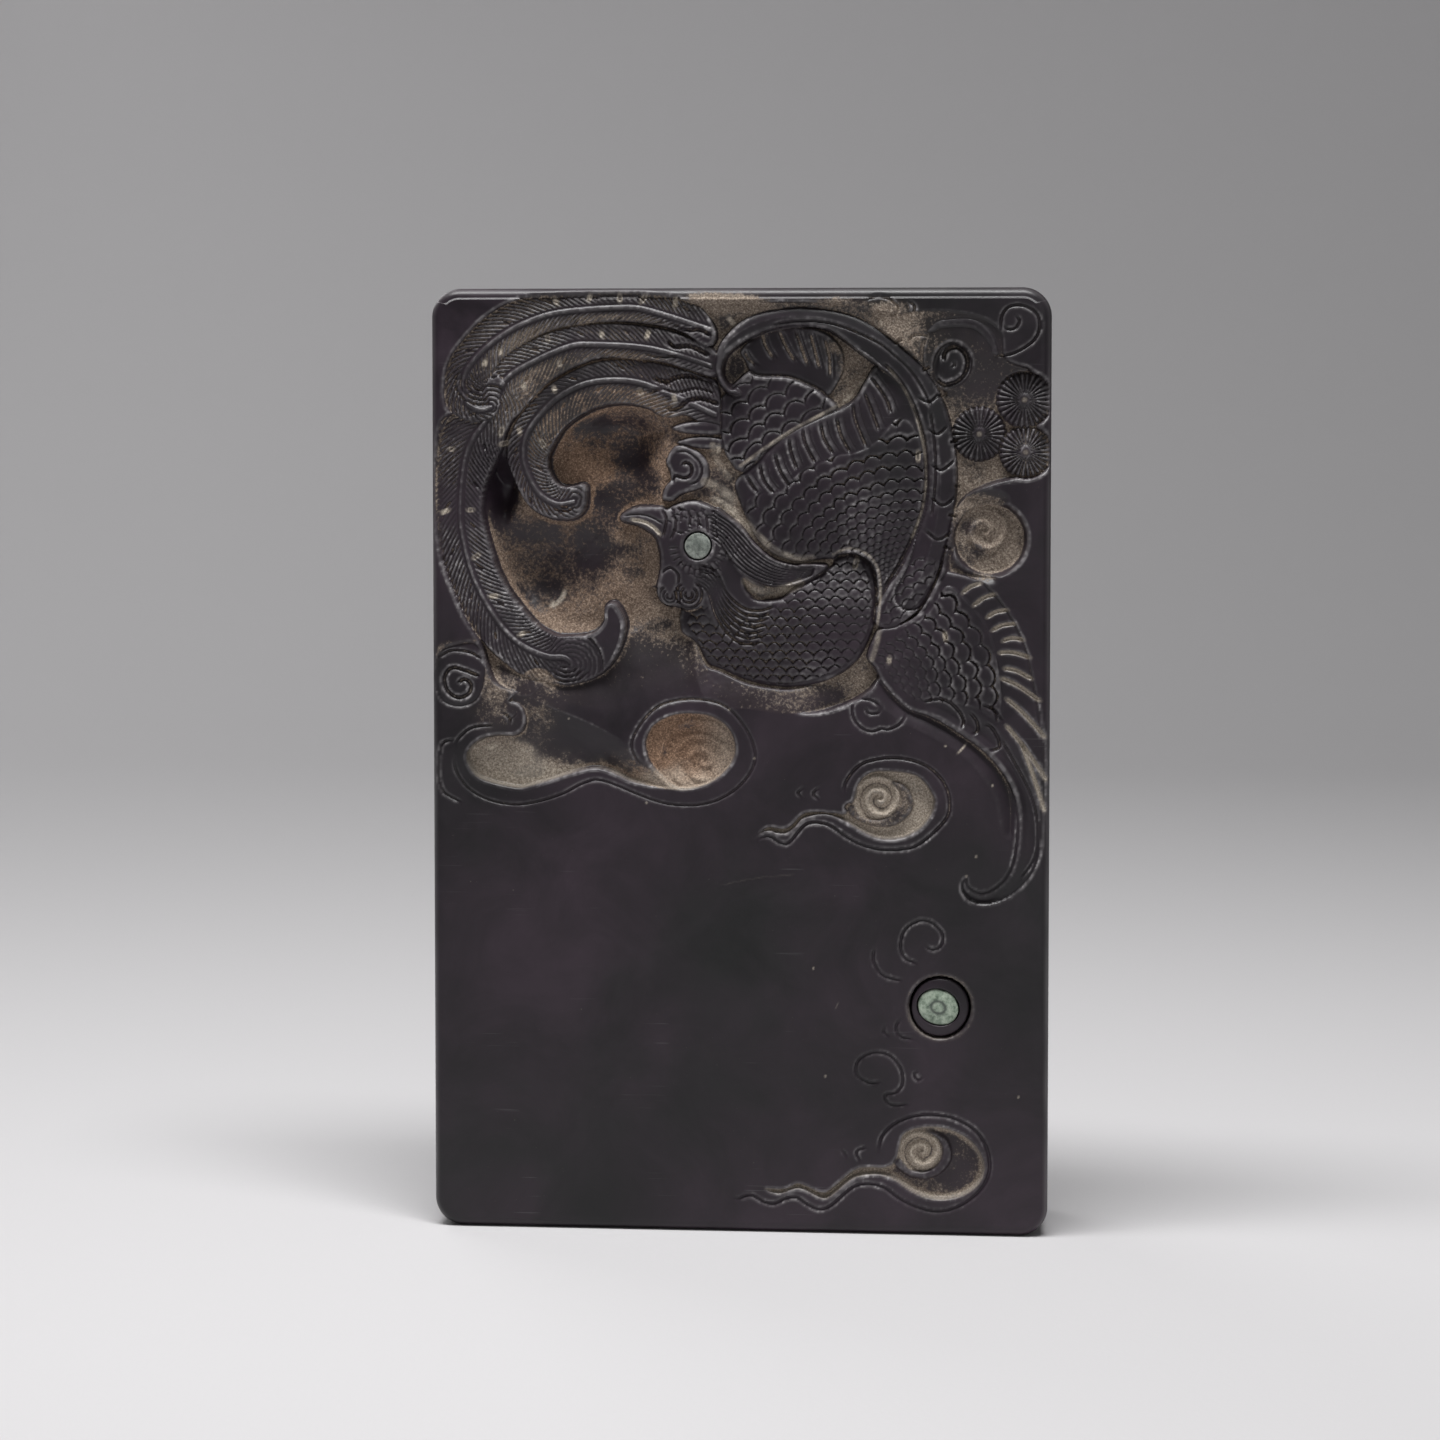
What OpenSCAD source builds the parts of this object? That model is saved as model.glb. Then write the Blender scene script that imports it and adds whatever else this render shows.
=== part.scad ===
/* [Slab] */
// Width of the slab, side to side
stone_w = 128; // [128:1:160]
// Height of the slab as it stands, along its long side
stone_h = 196; // [196:1:230]
// Thickness from the worked face to the back
stone_t = 28; // [20:1:40]
// Radius of the four corners of the outline
corner_r = 6; // [4:0.5:9]
// Radius that softens the arrises of face and back
edge_r = 2.2; // [1:0.1:2.6]

/* [Sunk ground] */
// Depth of the sunk ground behind the phoenix
ground_d = 3.2; // [2.8:0.1:4.5]
// Depth of the hollow inside the hooked wing band
hook_d = 4.6; // [4:0.1:6]
// Depth of the ink pool at its brim
pool_d = 7.5; // [6.5:0.1:9]
// Extra depth at the middle of the two bowls of the pool
bowl_sink = 3; // [1:0.1:4]
// Depth of the dished slope that leads water from the grinding face to the pool
slope_d = 4.5; // [3.5:0.1:6]
// Depth of the round hollow at the right of the wing
drum_d = 3.6; // [2:0.1:5]

/* [Relief] */
// How far the front layer of the relief lies below the face
high_d = 0.4; // [0.2:0.05:0.6]
// How far each further layer drops behind the one in front
layer_step = 0.45; // [0.3:0.05:0.5]
// Height of a feather shaft above its vane
shaft_rise = 0.35; // [0.2:0.05:0.4]
// Width of a feather shaft
shaft_w = 1.3; // [0.8:0.1:2]
// Distance between the barb cuts along a feather
barb_pitch = 3.2; // [2.5:0.1:5]

/* [Engraving] */
// Width of an engraved line
line_w = 0.7; // [0.5:0.1:1]
// Depth of an engraved line
line_d = 0.45; // [0.2:0.05:0.8]
// Depth at the foot of the long cloud hollow
cloud_d = 3; // [2:0.1:4]
// Depth of the small cloud hollows
curl_d = 1.8; // [1:0.1:3]

/* [Inlays] */
// Radius of the green inlay that is the eye of the phoenix
eye_r = 2.75; // [2:0.05:3]
// Thickness of that inlay
eye_t = 2; // [1.5:0.1:3]
// Radius of the dark bead
bead_r = 6.1; // [5.5:0.1:7]
// Length of the bead with its plug, top to bottom
bead_t = 6.5; // [5:0.1:9]
// Width of the groove round the bead
moat_w = 1; // [0.6:0.1:1.6]
// Depth of the groove round the bead
moat_d = 1.6; // [1:0.1:2.5]
// Half width of the oval green inlay on the bead
oval_rx = 4.2; // [3.2:0.1:4.6]
// Half height of that oval
oval_ry = 3.6; // [2.8:0.1:4.2]
// Thickness of the oval inlay
oval_t = 2.2; // [1.6:0.1:3]
// Radius of the dome on the bead and on both green inlays
dome_r = 22; // [16:1:40]
// Glue gap round each inlay
glue_gap = 0.05; // [0.02:0.01:0.15]

/* [Hidden] */
$fn = 48;

// Distance that a cut runs out in front of the face
over = 1;
// Distance that a relief form is rooted below the deepest floor next to it
root = 0.8;
// Steps between two chosen points of a smooth outline
smooth_n = 3;
// Points round a quarter of an arris
arris_n = 6;

// The carving hangs from the top edge: its outlines are measured from a point this far below it
carving_drop = 96;
// Places of the inlays: the eye in the carving, the bead from the middle of the foot
eye_at = [-8.6, 42.9];
bead_at = [41.7, 47.7];
oval_off = -0.5;
oval_tilt = -18;

// Depths of the tops of the relief, from the front layer to the back one
function layer(i) = high_d + i * layer_step;
pool_floor = pool_d + bowl_sink;
bead_top = 0.15;
eye_proud = 0.15;
head_top = layer(1);
// Domes of the wing fan, the breast and the lower wing: top, highest point and radius
fan_dome = [layer(1.6), [26, 56], 380];
breast_dome = [layer(0.5), [13, 26], 110];
flat_dome = [layer(0), [46, 10], 4000];

/* Outlines of the carving, in millimetres: x from the middle, y from the carving's own origin */
field_line = [
    [-61.2, 72], [-61, 77], [-60, 81], [-58, 84], [-53, 89.5], [-48, 92.6], [-40, 93.6], [-15, 93.7],
    [10, 93.4], [22, 92.8], [31, 91], [36, 91.5], [43, 91.5], [50, 90.2], [54, 87], [55, 81.5],
    [60.5, 79], [61.2, 72], [61.2, 62], [59, 57.5], [52, 55.5], [46, 52], [43, 45], [42, 38],
    [38, 30], [33, 24], [30, 17], [26, 13], [18, 10], [9, 9.5], [0, 11], [-10, 13], [-24, 10],
    [-36, 9.5], [-44, 10], [-47, 13], [-50, 17.5], [-55, 23.5], [-60, 25], [-61.2, 31], [-61.4, 50]
];
pool_line = [
    [-55, 62], [-55, 46], [-51, 33], [-45, 25], [-37, 21], [-28, 20], [-20, 21], [-13, 25], [-12, 32],
    [-13, 42], [-16, 46.5], [-13, 51], [-13, 58], [-12, 64], [-13, 69], [-20, 73.5], [-29, 74],
    [-37, 71], [-43, 66], [-47, 62], [-51, 64]
];
hook_line = [
    [-3.8, 78], [-2.8, 83], [1, 86.5], [8, 89.2], [15, 89.4], [21, 87.6], [27, 84], [31.5, 79.5],
    [28, 78], [25, 74], [21, 70.4], [17, 71], [12, 76], [5, 77.5], [-1, 75.4]
];
tail_a = [
    [-5, 87], [-7, 91], [-11, 93.4], [-20, 94.2], [-32, 94.2], [-42, 94], [-49, 92.8], [-53.6, 89.8],
    [-58.6, 84.2], [-60.7, 81], [-61.6, 77], [-61.7, 73], [-59.8, 70.4], [-57, 68.8], [-54, 68.4],
    [-51, 69.5], [-49.8, 72], [-49.2, 75.5], [-50.5, 78.2], [-48, 82.5], [-44, 85], [-40, 87],
    [-34, 88.5], [-26, 89.2], [-18, 88.6], [-12, 87], [-6.5, 84]
];
tail_b = [
    [-5, 82], [-11, 86], [-18, 88], [-26, 88.6], [-34, 88], [-42, 85.4], [-49, 81], [-56, 75.5],
    [-60.9, 69.5], [-61.9, 62], [-62, 50], [-61.8, 41], [-60, 34], [-57.5, 28.5], [-54, 23],
    [-48, 17.5], [-43, 14.8], [-37, 13.9], [-31, 14.9], [-27, 18], [-24.5, 22.5], [-23.9, 27],
    [-25.2, 30], [-27, 31], [-28.2, 29.6], [-28.4, 27], [-31, 24.6], [-36, 23.9], [-41, 25.3],
    [-46, 30.3], [-50, 36.5], [-52.5, 44.5], [-53.5, 51], [-52, 57.5], [-49.5, 63.5], [-46, 69.5],
    [-41, 75.5], [-35, 79.4], [-28, 81.7], [-20, 81.3], [-10, 79], [-5, 77.5]
];
tail_c = [
    [-4, 76], [-10, 78], [-17, 80.3], [-25, 81.2], [-32, 80], [-38, 77], [-43, 73], [-47, 67.5],
    [-48.5, 61], [-47, 55.5], [-43.5, 50.5], [-40, 48.6], [-36, 48.1], [-33, 49.6], [-31.8, 52.5],
    [-32.2, 55.2], [-34.5, 55.3], [-37, 55.1], [-39.2, 57.2], [-39.9, 60.5], [-38.4, 64.5],
    [-35, 68.5], [-30, 71.2], [-25, 72.2], [-19, 71.3], [-14.5, 69.3], [-11, 69.7], [-7, 67.4],
    [-3.2, 66]
];
shaft_a = [
    [-6, 87.5], [-12, 89.4], [-18, 91.3], [-24, 92], [-30, 91.9], [-36, 91.2], [-42, 89.8],
    [-48, 87.2], [-53, 83.5], [-56.5, 79.5], [-57.5, 75.5], [-56, 72.2], [-53, 71.4]
];
shaft_b = [
    [-6, 80], [-12, 82], [-18, 83.6], [-24, 84.4], [-30, 84.5], [-36, 83.9], [-42, 81.5],
    [-46, 79.3], [-49.5, 76], [-51.5, 72], [-53.5, 68], [-55.5, 64], [-57.3, 59.5], [-58, 54.5],
    [-58.2, 49.5], [-57.5, 43.5], [-55.5, 36.5], [-52.5, 30.5], [-49, 25.5], [-45, 22],
    [-40, 19.9], [-36, 19.2]
];
shaft_c = [
    [-5, 71.5], [-10, 73.5], [-16, 75.5], [-22, 76.9], [-28, 77.1], [-33, 76.1], [-38, 73.4],
    [-42, 69.5], [-44.5, 65.5], [-45, 61], [-43.7, 57], [-41.2, 53.5], [-37.5, 51.8]
];
crest = [
    [-16.2, 50], [-15.9, 53], [-14.5, 56.3], [-14.9, 58.5], [-15.3, 60.5], [-14.5, 62.4],
    [-12.6, 63.6], [-10, 63.2], [-7.6, 61.3], [-6.4, 58.8], [-6.8, 56.2], [-9, 54.4], [-12, 53.6],
    [-13.5, 51.5]
];
crest_curl = [[-13.5, 57.3], [-11.5, 56.9], [-10.2, 57.5], [-9.9, 58.9], [-10.7, 59.9]];
head = [
    [-25, 48.6], [-23, 50.3], [-19, 51.2], [-15.5, 50.9], [-12, 52], [-8.5, 52.1], [-5, 50.6],
    [-2, 48.6], [1.5, 45.2], [2, 40], [-1, 34], [-5, 29.6], [-9, 28.6], [-13, 30], [-16, 31],
    [-17, 34], [-16.5, 38], [-16.8, 42], [-18.5, 45.3], [-21.5, 47]
];
plume = [
    [-5, 50.4], [-1, 48], [2, 44.6], [5, 41.4], [9, 39.2], [13.5, 39], [18.4, 38.7], [15, 36.2],
    [10, 34.8], [5.5, 35], [1.5, 36.6], [-1.5, 39.6], [-5, 44]
];
breast = [
    [-11.6, 30.2], [-12.6, 26], [-10.5, 23.3], [-8, 20], [-5, 17], [-1, 15.5], [4, 13.8], [10, 13.2],
    [16, 14.4], [22, 17.2], [26, 22], [28, 27], [28.5, 33], [27.5, 39], [24, 41.4], [20.5, 41.1],
    [18, 38.2], [13.5, 36.2], [10.5, 33], [5.5, 31.6], [1, 33.4], [-3, 36], [-8, 34]
];
band = [
    [0.2, 74.2], [-3, 75], [-5, 79], [-4.4, 84], [-1, 88], [4, 91], [10, 92], [17, 91.9], [24, 90.1],
    [30, 86.5], [36, 81.8], [40.5, 76], [43.3, 68], [44.7, 59], [43.9, 48], [41.5, 39], [38, 31],
    [33.5, 27], [29, 26.2], [27.5, 29], [31, 35], [35, 41.8], [38, 49], [39, 57], [37.7, 67],
    [34, 75], [29.5, 79.3], [23, 84.2], [17, 87.7], [11, 88.2], [4, 86.5], [-1.5, 83.4],
    [-3.7, 79], [-2.6, 76], [0, 75.2]
];
fan = [
    [1, 58.4], [6, 62.8], [11, 66.4], [16, 68.7], [20, 70.8], [24, 73.5], [26, 77], [29, 80.2],
    [34, 77.5], [38, 70], [40, 60], [39, 49], [35, 39], [29, 31], [25, 34], [20, 40], [13, 39.6],
    [8, 40.6], [3, 44.8], [0.5, 50.5], [-1, 55.8]
];
back_wing = [
    [0, 58.2], [-2.8, 61.5], [-4, 67], [-4, 72.5], [-1.2, 76.4], [4, 78.7], [10, 78.2], [15, 76],
    [19.2, 71.5], [16, 67], [10, 62], [4, 57.5]
];
hollow_fan = [
    [0, 84.4], [0.8, 81.4], [3, 78], [10, 76], [16, 73], [19, 74.5], [21.5, 79], [20.8, 85],
    [15, 88.6], [7, 88.4]
];
wing_two = [
    [27, 19.8], [30, 14.3], [34.5, 9.7], [40, 7.6], [46, 4.2], [51, 0], [55.5, -5.8], [57.3, -13],
    [56.8, -20.5], [54.5, -25.5], [50.7, -28.2], [47.6, -27], [46.1, -27.2], [47.2, -29.8],
    [51.6, -30.7], [56.5, -28.6], [60.3, -24], [61.5, -16], [61.6, -4], [61.2, 8], [59.6, 19],
    [56.6, 27], [52, 33.6], [46.5, 37], [41.5, 37], [38.5, 31.5], [34, 27], [29, 25.6]
];
wing_shade = [
    [26, 18], [28.5, 12.5], [33, 8], [39, 5], [45, 1.5], [50, -3], [54, -8], [58, -12], [56, -4],
    [52, 4], [46, 8], [38, 12], [32, 18]
];
hook_cloud = [
    [39.8, 88.2], [42.5, 89.4], [46, 89.6], [50, 88.2], [52.5, 85], [53, 81.8], [50, 79.4],
    [46.5, 76.8], [42.5, 76.2], [39.8, 78.4], [37, 83], [38, 86.6]
];
hook_curl = [[42.8, 81.8], [44.6, 83.2], [46.4, 81.4], [46.2, 78.8], [43.4, 77.4]];
left_cloud = [
    [-54.8, 23], [-59.5, 22.6], [-62, 20.4], [-62.6, 15.5], [-61.6, 11.2], [-58, 9.3], [-55, 10.5],
    [-53.6, 13.5]
];
left_curl = [[-54.6, 16], [-59.6, 17], [-60.3, 13.6], [-58.2, 12.1], [-56.9, 13.6]];
long_cloud = [
    [-46, 15], [-48, 11], [-45, 8.4], [-45, 5], [-48.5, 3.7], [-53, 3.2], [-56.5, 0.4], [-56.4, -3.5],
    [-52.5, -6.7], [-46, -7.6], [-39, -6], [-33, -4.2], [-28.5, -3.8], [-23, -6], [-17, -7.6],
    [-10, -7.7], [-4, -5.2], [-0.8, -0.8], [-0.6, 3], [-4, 7.2], [-10, 8.4], [-17, 6.6], [-25, 10],
    [-35, 15]
];
long_cloud_line = [
    [-59.5, -0.6], [-58.6, -5], [-54.5, -9], [-48, -11], [-41, -10.2], [-33, -6.8], [-28, -5.9],
    [-22.5, -8.2], [-15, -10.5], [-8, -10.6], [-2, -8.6], [2, -4.4], [3.2, 0.5], [1, 5.8],
    [-4, 10.1], [-11.5, 11.2], [-18, 8.8], [-21.6, 4], [-21.6, -0.8]
];
mid_cloud = [
    [23.2, -9.5], [24.3, -6.2], [28, -3.5], [33, -3.2], [38, -5], [40.4, -8.4], [40.2, -12.2],
    [37, -16], [31, -17.7], [25.5, -15.7], [19, -12.6], [14, -12.4], [10, -15.7], [4, -16.6],
    [8, -14.6], [12.4, -11.2], [18, -10.6]
];
mid_tongue = [
    [23.6, -13], [28.5, -14.6], [33.2, -12.6], [35.2, -8.6], [33.4, -5.4], [32.2, -6.8],
    [33.2, -10], [31, -13], [27.5, -13.8]
];
mid_cloud_line = [
    [21.4, -9], [22.3, -5.4], [27, -1.6], [33.1, -0.7], [39, -2.6], [43, -7], [43.2, -12],
    [39, -17.3], [33, -19.6], [27, -19.3], [19, -14.9], [13.7, -14.7], [10.5, -18.2], [6.2, -17.2],
    [3.5, -17.8]
];
small_cloud_line = [
    [29.3, 9.7], [27.6, 11.2], [24.8, 11.2], [23.4, 9.1], [24.6, 6], [27.7, 4.8], [30.8, 5.2],
    [34.5, 8.2]
];

/* Outlines near the foot: y from the foot of the slab */
low_cloud = [
    [31.5, 17], [33.7, 20.6], [38, 22.8], [44, 22.5], [49, 19.2], [51.1, 14.5], [49, 10],
    [44, 7.5], [38.5, 7.8], [33, 10.9], [27, 12.8], [22, 10.6], [17, 7.8], [11, 9.1], [5, 9.5],
    [10, 10.6], [17, 10], [22, 13], [27, 15]
];
low_tongue = [
    [32.4, 13.4], [37, 11.4], [42.2, 13], [44.4, 17], [43, 20.2], [41.6, 19], [42, 16.2],
    [39.4, 13.2], [36, 12.6]
];
low_cloud_line = [
    [29, 17.3], [31.4, 22.4], [37.1, 25.1], [43, 25.1], [49, 22.2], [52, 16.5], [51, 11],
    [46, 6.4], [40, 5.2], [34, 7.4], [27.5, 10.6], [22, 8.2], [16.7, 5.1], [11, 7.6], [6, 6.2],
    [0, 7.1]
];
upper_bead_line = [
    [37.1, 56.9], [34.3, 58], [33.5, 61], [35.4, 64.8], [39.4, 65.5], [42.1, 63], [41.2, 60],
    [38.7, 60.6]
];
side_bead_line = [[28.4, 60.6], [27.9, 57.5], [29.5, 54.5], [34, 53.4]];
lower_bead_line = [
    [29.8, 32.4], [26.6, 31.9], [24.4, 34], [25.6, 37.3], [29.6, 38.1], [33.4, 35.2], [33.8, 31],
    [30.6, 29.4], [31.4, 27.4], [35.4, 27.6]
];

// Discs behind the wing: centre, radius and layer of each
discs = [[58.5, 73, 5.8, 1], [58.8, 62.3, 5.5, 2], [49.3, 66, 5.7, 3]];
disc_ribs = 16;
rib_w = 0.6;
rib_d = 0.6;
// The discs run into the wall at the right of the sunk ground, and their ribs end in front of it
disc_edge = 61.3;
rib_edge = disc_edge - 0.9;
// Round hollow at the right of the wing
drum_at = [51.5, 44.5];
drum_r = 7.5;
// Bowls of the pool and the water slope: centre, radius at the face and depth
bowls = [[[-38, 38], 13, pool_floor], [[-25.5, 61.5], 11, pool_floor], [[-20, 18], 19, slope_d]];
// Floors that climb: where they are deepest and where they meet the face
wing_shade_d = 1.6;
wing_shade_climb = [-12, 22];
long_cloud_climb = [-8, 17];

// Primary feathers of the front wing: each row is one separating cut
primaries = [
    [[1.3, 57.5], [2.5, 55.5], [3.8, 53.8]], [[4.2, 59.5], [5, 56.5], [7.3, 53.6]],
    [[7.5, 60.5], [8.5, 57], [10.5, 55]], [[10.2, 65], [10.6, 62], [12, 58.5]],
    [[13, 67], [13.6, 64], [15.8, 59.8]], [[16.7, 68.3], [17.5, 65], [19.5, 61.7]],
    [[20, 69.5], [21, 65.5], [23, 62]], [[23.3, 72], [24, 68.5], [26.2, 63.2]],
    [[25.5, 74.5], [27.5, 70], [28.8, 66.5]], [[26.5, 77.3], [30, 73.5], [31.3, 70]]
];
// Ribs of the hollow fan and of the tail side of the lower wing
hollow_ribs = [
    [[5, 85.6], [5.4, 83.4], [7, 81.5]], [[8, 86.6], [9.6, 84], [11.5, 81]],
    [[13.5, 86.6], [15, 84.4], [15.8, 81]], [[17.6, 85.6], [18.6, 82], [18.6, 78]]
];
edge_ribs = [
    [[48.2, 30.8], [52, 33]], [[51, 28.4], [54.6, 29.6]], [[52, 25.7], [56.4, 27]],
    [[54.2, 23.6], [58, 23.9]], [[53.5, 21.2], [59.3, 20.3]], [[54.5, 18], [59.8, 16]],
    [[53.9, 16], [61.1, 11.8]], [[55, 11.8], [61.4, 5.4]], [[55, 6.3], [61.4, -2.6]]
];
// Rows of scales: place of the first, step to the next, count, radius, turn and the dome that they lie on
scale_rows = [
    [[1, 18.2], [3.1, 0.2], 6, 1.5, 80, breast_dome], [[-1, 21.6], [3.1, 0.2], 8, 1.5, 80, breast_dome],
    [[3.6, 25.2], [3.1, 0.2], 7, 1.5, 80, breast_dome], [[8.4, 28.8], [3.1, 0.2], 6, 1.5, 80, breast_dome],
    [[13.2, 32.4], [3.1, 0.2], 5, 1.5, 80, breast_dome], [[17.8, 36], [3.1, 0.2], 3, 1.5, 80, breast_dome],
    [[6, 49.6], [2.9, 3], 8, 1.7, 125, fan_dome], [[9.8, 47.2], [2.9, 3], 8, 1.7, 125, fan_dome],
    [[13.8, 45], [2.9, 3], 7, 1.7, 125, fan_dome], [[18.4, 43.6], [2.9, 3], 6, 1.7, 125, fan_dome],
    [[43, 27], [0.6, -4.4], 4, 2.3, 35, flat_dome], [[49, 24.6], [0.7, -4.4], 5, 2.3, 35, flat_dome]
];
scale_arc = 150;
scale_w = 0.45;
scale_d = 0.35;
// Barb cuts: width, depth, angle to the shaft and distance from it
barb_w = 0.5;
barb_d = 0.4;
barb_slant = 38;
barb_gap = 0.4;

// Point at t on the smooth curve from b to c, with the neighbours a and d
function blend_point(a, b, c, d, t) =
    0.5 * (2 * b + (c - a) * t + (2 * a - 5 * b + 4 * c - d) * t * t + (3 * b - a - 3 * c + d) * t * t * t);
// Smooth closed outline through the points
function ring(p, n = smooth_n) = let(m = len(p)) [
    for (i = [0:m - 1], k = [0:n - 1])
        blend_point(p[(i + m - 1) % m], p[i], p[(i + 1) % m], p[(i + 2) % m], k / n)
];
// Smooth open curve through the points
function path(p, n = smooth_n) = let(m = len(p)) concat([
    for (i = [0:m - 2], k = [0:n - 1])
        blend_point(p[max(i - 1, 0)], p[i], p[i + 1], p[min(i + 2, m - 1)], k / n)
], [p[m - 1]]);
function unit(v) = v / norm(v);
// Direction of the curve c at its point i
function heading(c, i) = unit(c[min(i + 1, len(c) - 1)] - c[max(i - 1, 0)]);
function left_of(v) = [-v[1], v[0]];
// Number of the last point of a curve that lies no further along it than s
function last_before(travel, s) = max([for (i = [0:len(travel) - 1]) travel[i] <= s ? i : 0]);
// Outline of a strip of width w along the curve c, narrowing to a share of it at its end
function strip(c, w, share = 1) = let(m = len(c)) concat(
    [for (i = [0:m - 1]) c[i] + left_of(heading(c, i)) * w / 2 * (1 + (share - 1) * i / (m - 1))],
    [for (i = [m - 1:-1:0]) c[i] - left_of(heading(c, i)) * w / 2 * (1 + (share - 1) * i / (m - 1))]
);
// Radius of the sphere whose cap is r wide and s high
function cap_radius(r, s) = (r * r + s * s) / (2 * s);
// Depth below the face of a dome, given as its top, highest point and radius, at the point p
function dome_depth(dome, p) = let(away = norm(p - dome[1])) dome[0] + dome[2] - sqrt(dome[2] * dome[2] - away * away);

// Turns a shape drawn in x and y, with z out of the stone, onto the face of the slab
module on_face() {
    translate([0, -stone_t / 2, 0]) rotate([90, 0, 0]) children();
}

module at_carving() {
    translate([0, stone_h - carving_drop, 0]) children();
}

// Form that stands up from the depth "foot" to the depth "top"
module form(outline, top, foot) {
    translate([0, 0, -foot]) linear_extrude(foot - top) polygon(ring(outline));
}

// Form with a domed top
module domed_form(outline, dome, foot) {
    intersection() {
        form(outline, dome[0] - over, foot);
        translate([dome[1][0], dome[1][1], -dome[0] - dome[2]]) sphere(dome[2], $fn = 96);
    }
}

// Cut with upright walls from in front of the face to the depth d
module pocket(outline, d) {
    translate([0, 0, -d]) linear_extrude(d + over) polygon(ring(outline));
}

// Cut whose floor climbs from depth d at y = climb[0] to the face at y = climb[1]
module climbing_pocket(outline, d, climb) {
    slant = atan(d / (climb[1] - climb[0]));
    reach = 2 * stone_w;
    intersection() {
        pocket(outline, 2 * d);
        translate([0, climb[1], 0]) rotate([slant, 0, 0]) translate([-reach / 2, -reach / 2, 0])
            cube([reach, reach, stone_t]);
    }
}

module engraved(points, start_d = 0, w = line_w, share = 1) {
    translate([0, 0, -start_d - line_d]) linear_extrude(start_d + line_d + over)
        polygon(strip(path(points), w, share));
}

module raised_shaft(points, top) {
    translate([0, 0, -top - root]) linear_extrude(root + shaft_rise) polygon(strip(path(points), shaft_w, 0.5));
}

// Row of short slanting cuts on both sides of a feather's shaft
module barbs(points, top, length, first, last) {
    c = path(points, 4);
    gap = shaft_w / 2 + barb_gap;
    travel = [for (i = 0, s = 0; i < len(c); s = s + norm(c[min(i + 1, len(c) - 1)] - c[i]), i = i + 1) s];
    for (s = [first:barb_pitch:travel[len(c) - 1] - last]) {
        i = last_before(travel, s);
        v = heading(c, i);
        turn = atan2(v[1], v[0]);
        for (side = [-1, 1])
            translate([c[i][0], c[i][1], -top - barb_d]) rotate([0, 0, turn + side * barb_slant])
                translate([gap / sin(barb_slant), -barb_w / 2, 0]) cube([length, barb_w, top + barb_d + over]);
    }
}

// Arc cut like the free edge of a scale, open at the side "turn" degrees away
module scale_cut(at, r, top, turn) {
    translate([at[0], at[1], -top - scale_d]) rotate([0, 0, turn - scale_arc / 2])
        rotate_extrude(angle = scale_arc, $fn = 24)
            translate([r - scale_w, 0]) square([scale_w, top + scale_d + over]);
}

// Ribs that fan out from the centre of a disc and stop short of the border at its right
module disc_cuts(at, r, top) {
    depth = top + rib_d;
    intersection() {
        translate([at[0] - 2 * r, at[1] - r, -depth]) cube([2 * r + rib_edge - at[0], 2 * r, depth + over]);
        for (i = [0:disc_ribs - 1])
            translate([at[0], at[1], -depth]) rotate([0, 0, (i + 0.5) * 360 / disc_ribs])
                translate([r * 0.3, -rib_w / 2, 0]) cube([r * 0.68, rib_w, depth + over]);
    }
}

// Half of the slab's section at an edge: x runs outward, y through the thickness
module edge_profile() {
    corner = stone_t / 2 - edge_r;
    polygon(concat(
        [[0, -stone_t / 2]],
        [for (i = [0:arris_n]) let(a = 90 * i / arris_n)
            [corner_r - edge_r + edge_r * sin(a), -corner - edge_r * cos(a)]],
        [for (i = [0:arris_n]) let(a = 90 * i / arris_n)
            [corner_r - edge_r + edge_r * cos(a), corner + edge_r * sin(a)]],
        [[0, stone_t / 2]]
    ));
}

module slab() {
    inner_w = stone_w - 2 * corner_r;
    inner_h = stone_h - 2 * corner_r;
    translate([0, 0, stone_h / 2]) rotate([90, 0, 0]) {
        translate([-inner_w / 2, -inner_h / 2, -stone_t / 2]) cube([inner_w, inner_h, stone_t]);
        for (k = [0:3]) {
            side = (k % 2 == 0) ? [inner_w / 2, inner_h] : [inner_h / 2, inner_w];
            // Straight edge on this side, then the rounded corner that follows it
            rotate([0, 0, 90 * k]) {
                translate([side[0], side[1] / 2, 0]) rotate([90, 0, 0]) linear_extrude(side[1]) edge_profile();
                translate([side[0], side[1] / 2, 0]) rotate_extrude(angle = 90) edge_profile();
            }
        }
    }
}

// Everything that is cut below the face before the relief is left standing
module sunk_ground() {
    at_carving() {
        pocket(field_line, ground_d);
        pocket(pool_line, pool_d);
        pocket(hook_line, hook_d);
        for (b = bowls)
            bowl(b[0], b[1], b[2]);
        translate([drum_at[0], drum_at[1], -drum_d]) cylinder(r = drum_r, h = drum_d + over);
        pocket(wing_two, layer(0));
        climbing_pocket(wing_shade, wing_shade_d, wing_shade_climb);
        climbing_pocket(long_cloud, cloud_d, long_cloud_climb);
        difference() {
            pocket(mid_cloud, curl_d);
            form(mid_tongue, high_d, curl_d + root);
        }
    }
    difference() {
        pocket(low_cloud, curl_d);
        form(low_tongue, high_d, curl_d + root);
    }
}

// Dished cut r wide at the face and d deep in its middle
module bowl(at, r, d) {
    big = cap_radius(r, d);
    translate([at[0], at[1], big - d]) sphere(big, $fn = 96);
}

module feathers() {
    foot = pool_floor + root;
    form(tail_c, layer(3), foot);
    raised_shaft(shaft_c, layer(3));
    form(tail_b, layer(1.5), foot);
    raised_shaft(shaft_b, layer(1.5));
    form(tail_a, layer(0.6), ground_d + root);
    raised_shaft(shaft_a, layer(0.6));
}

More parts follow.
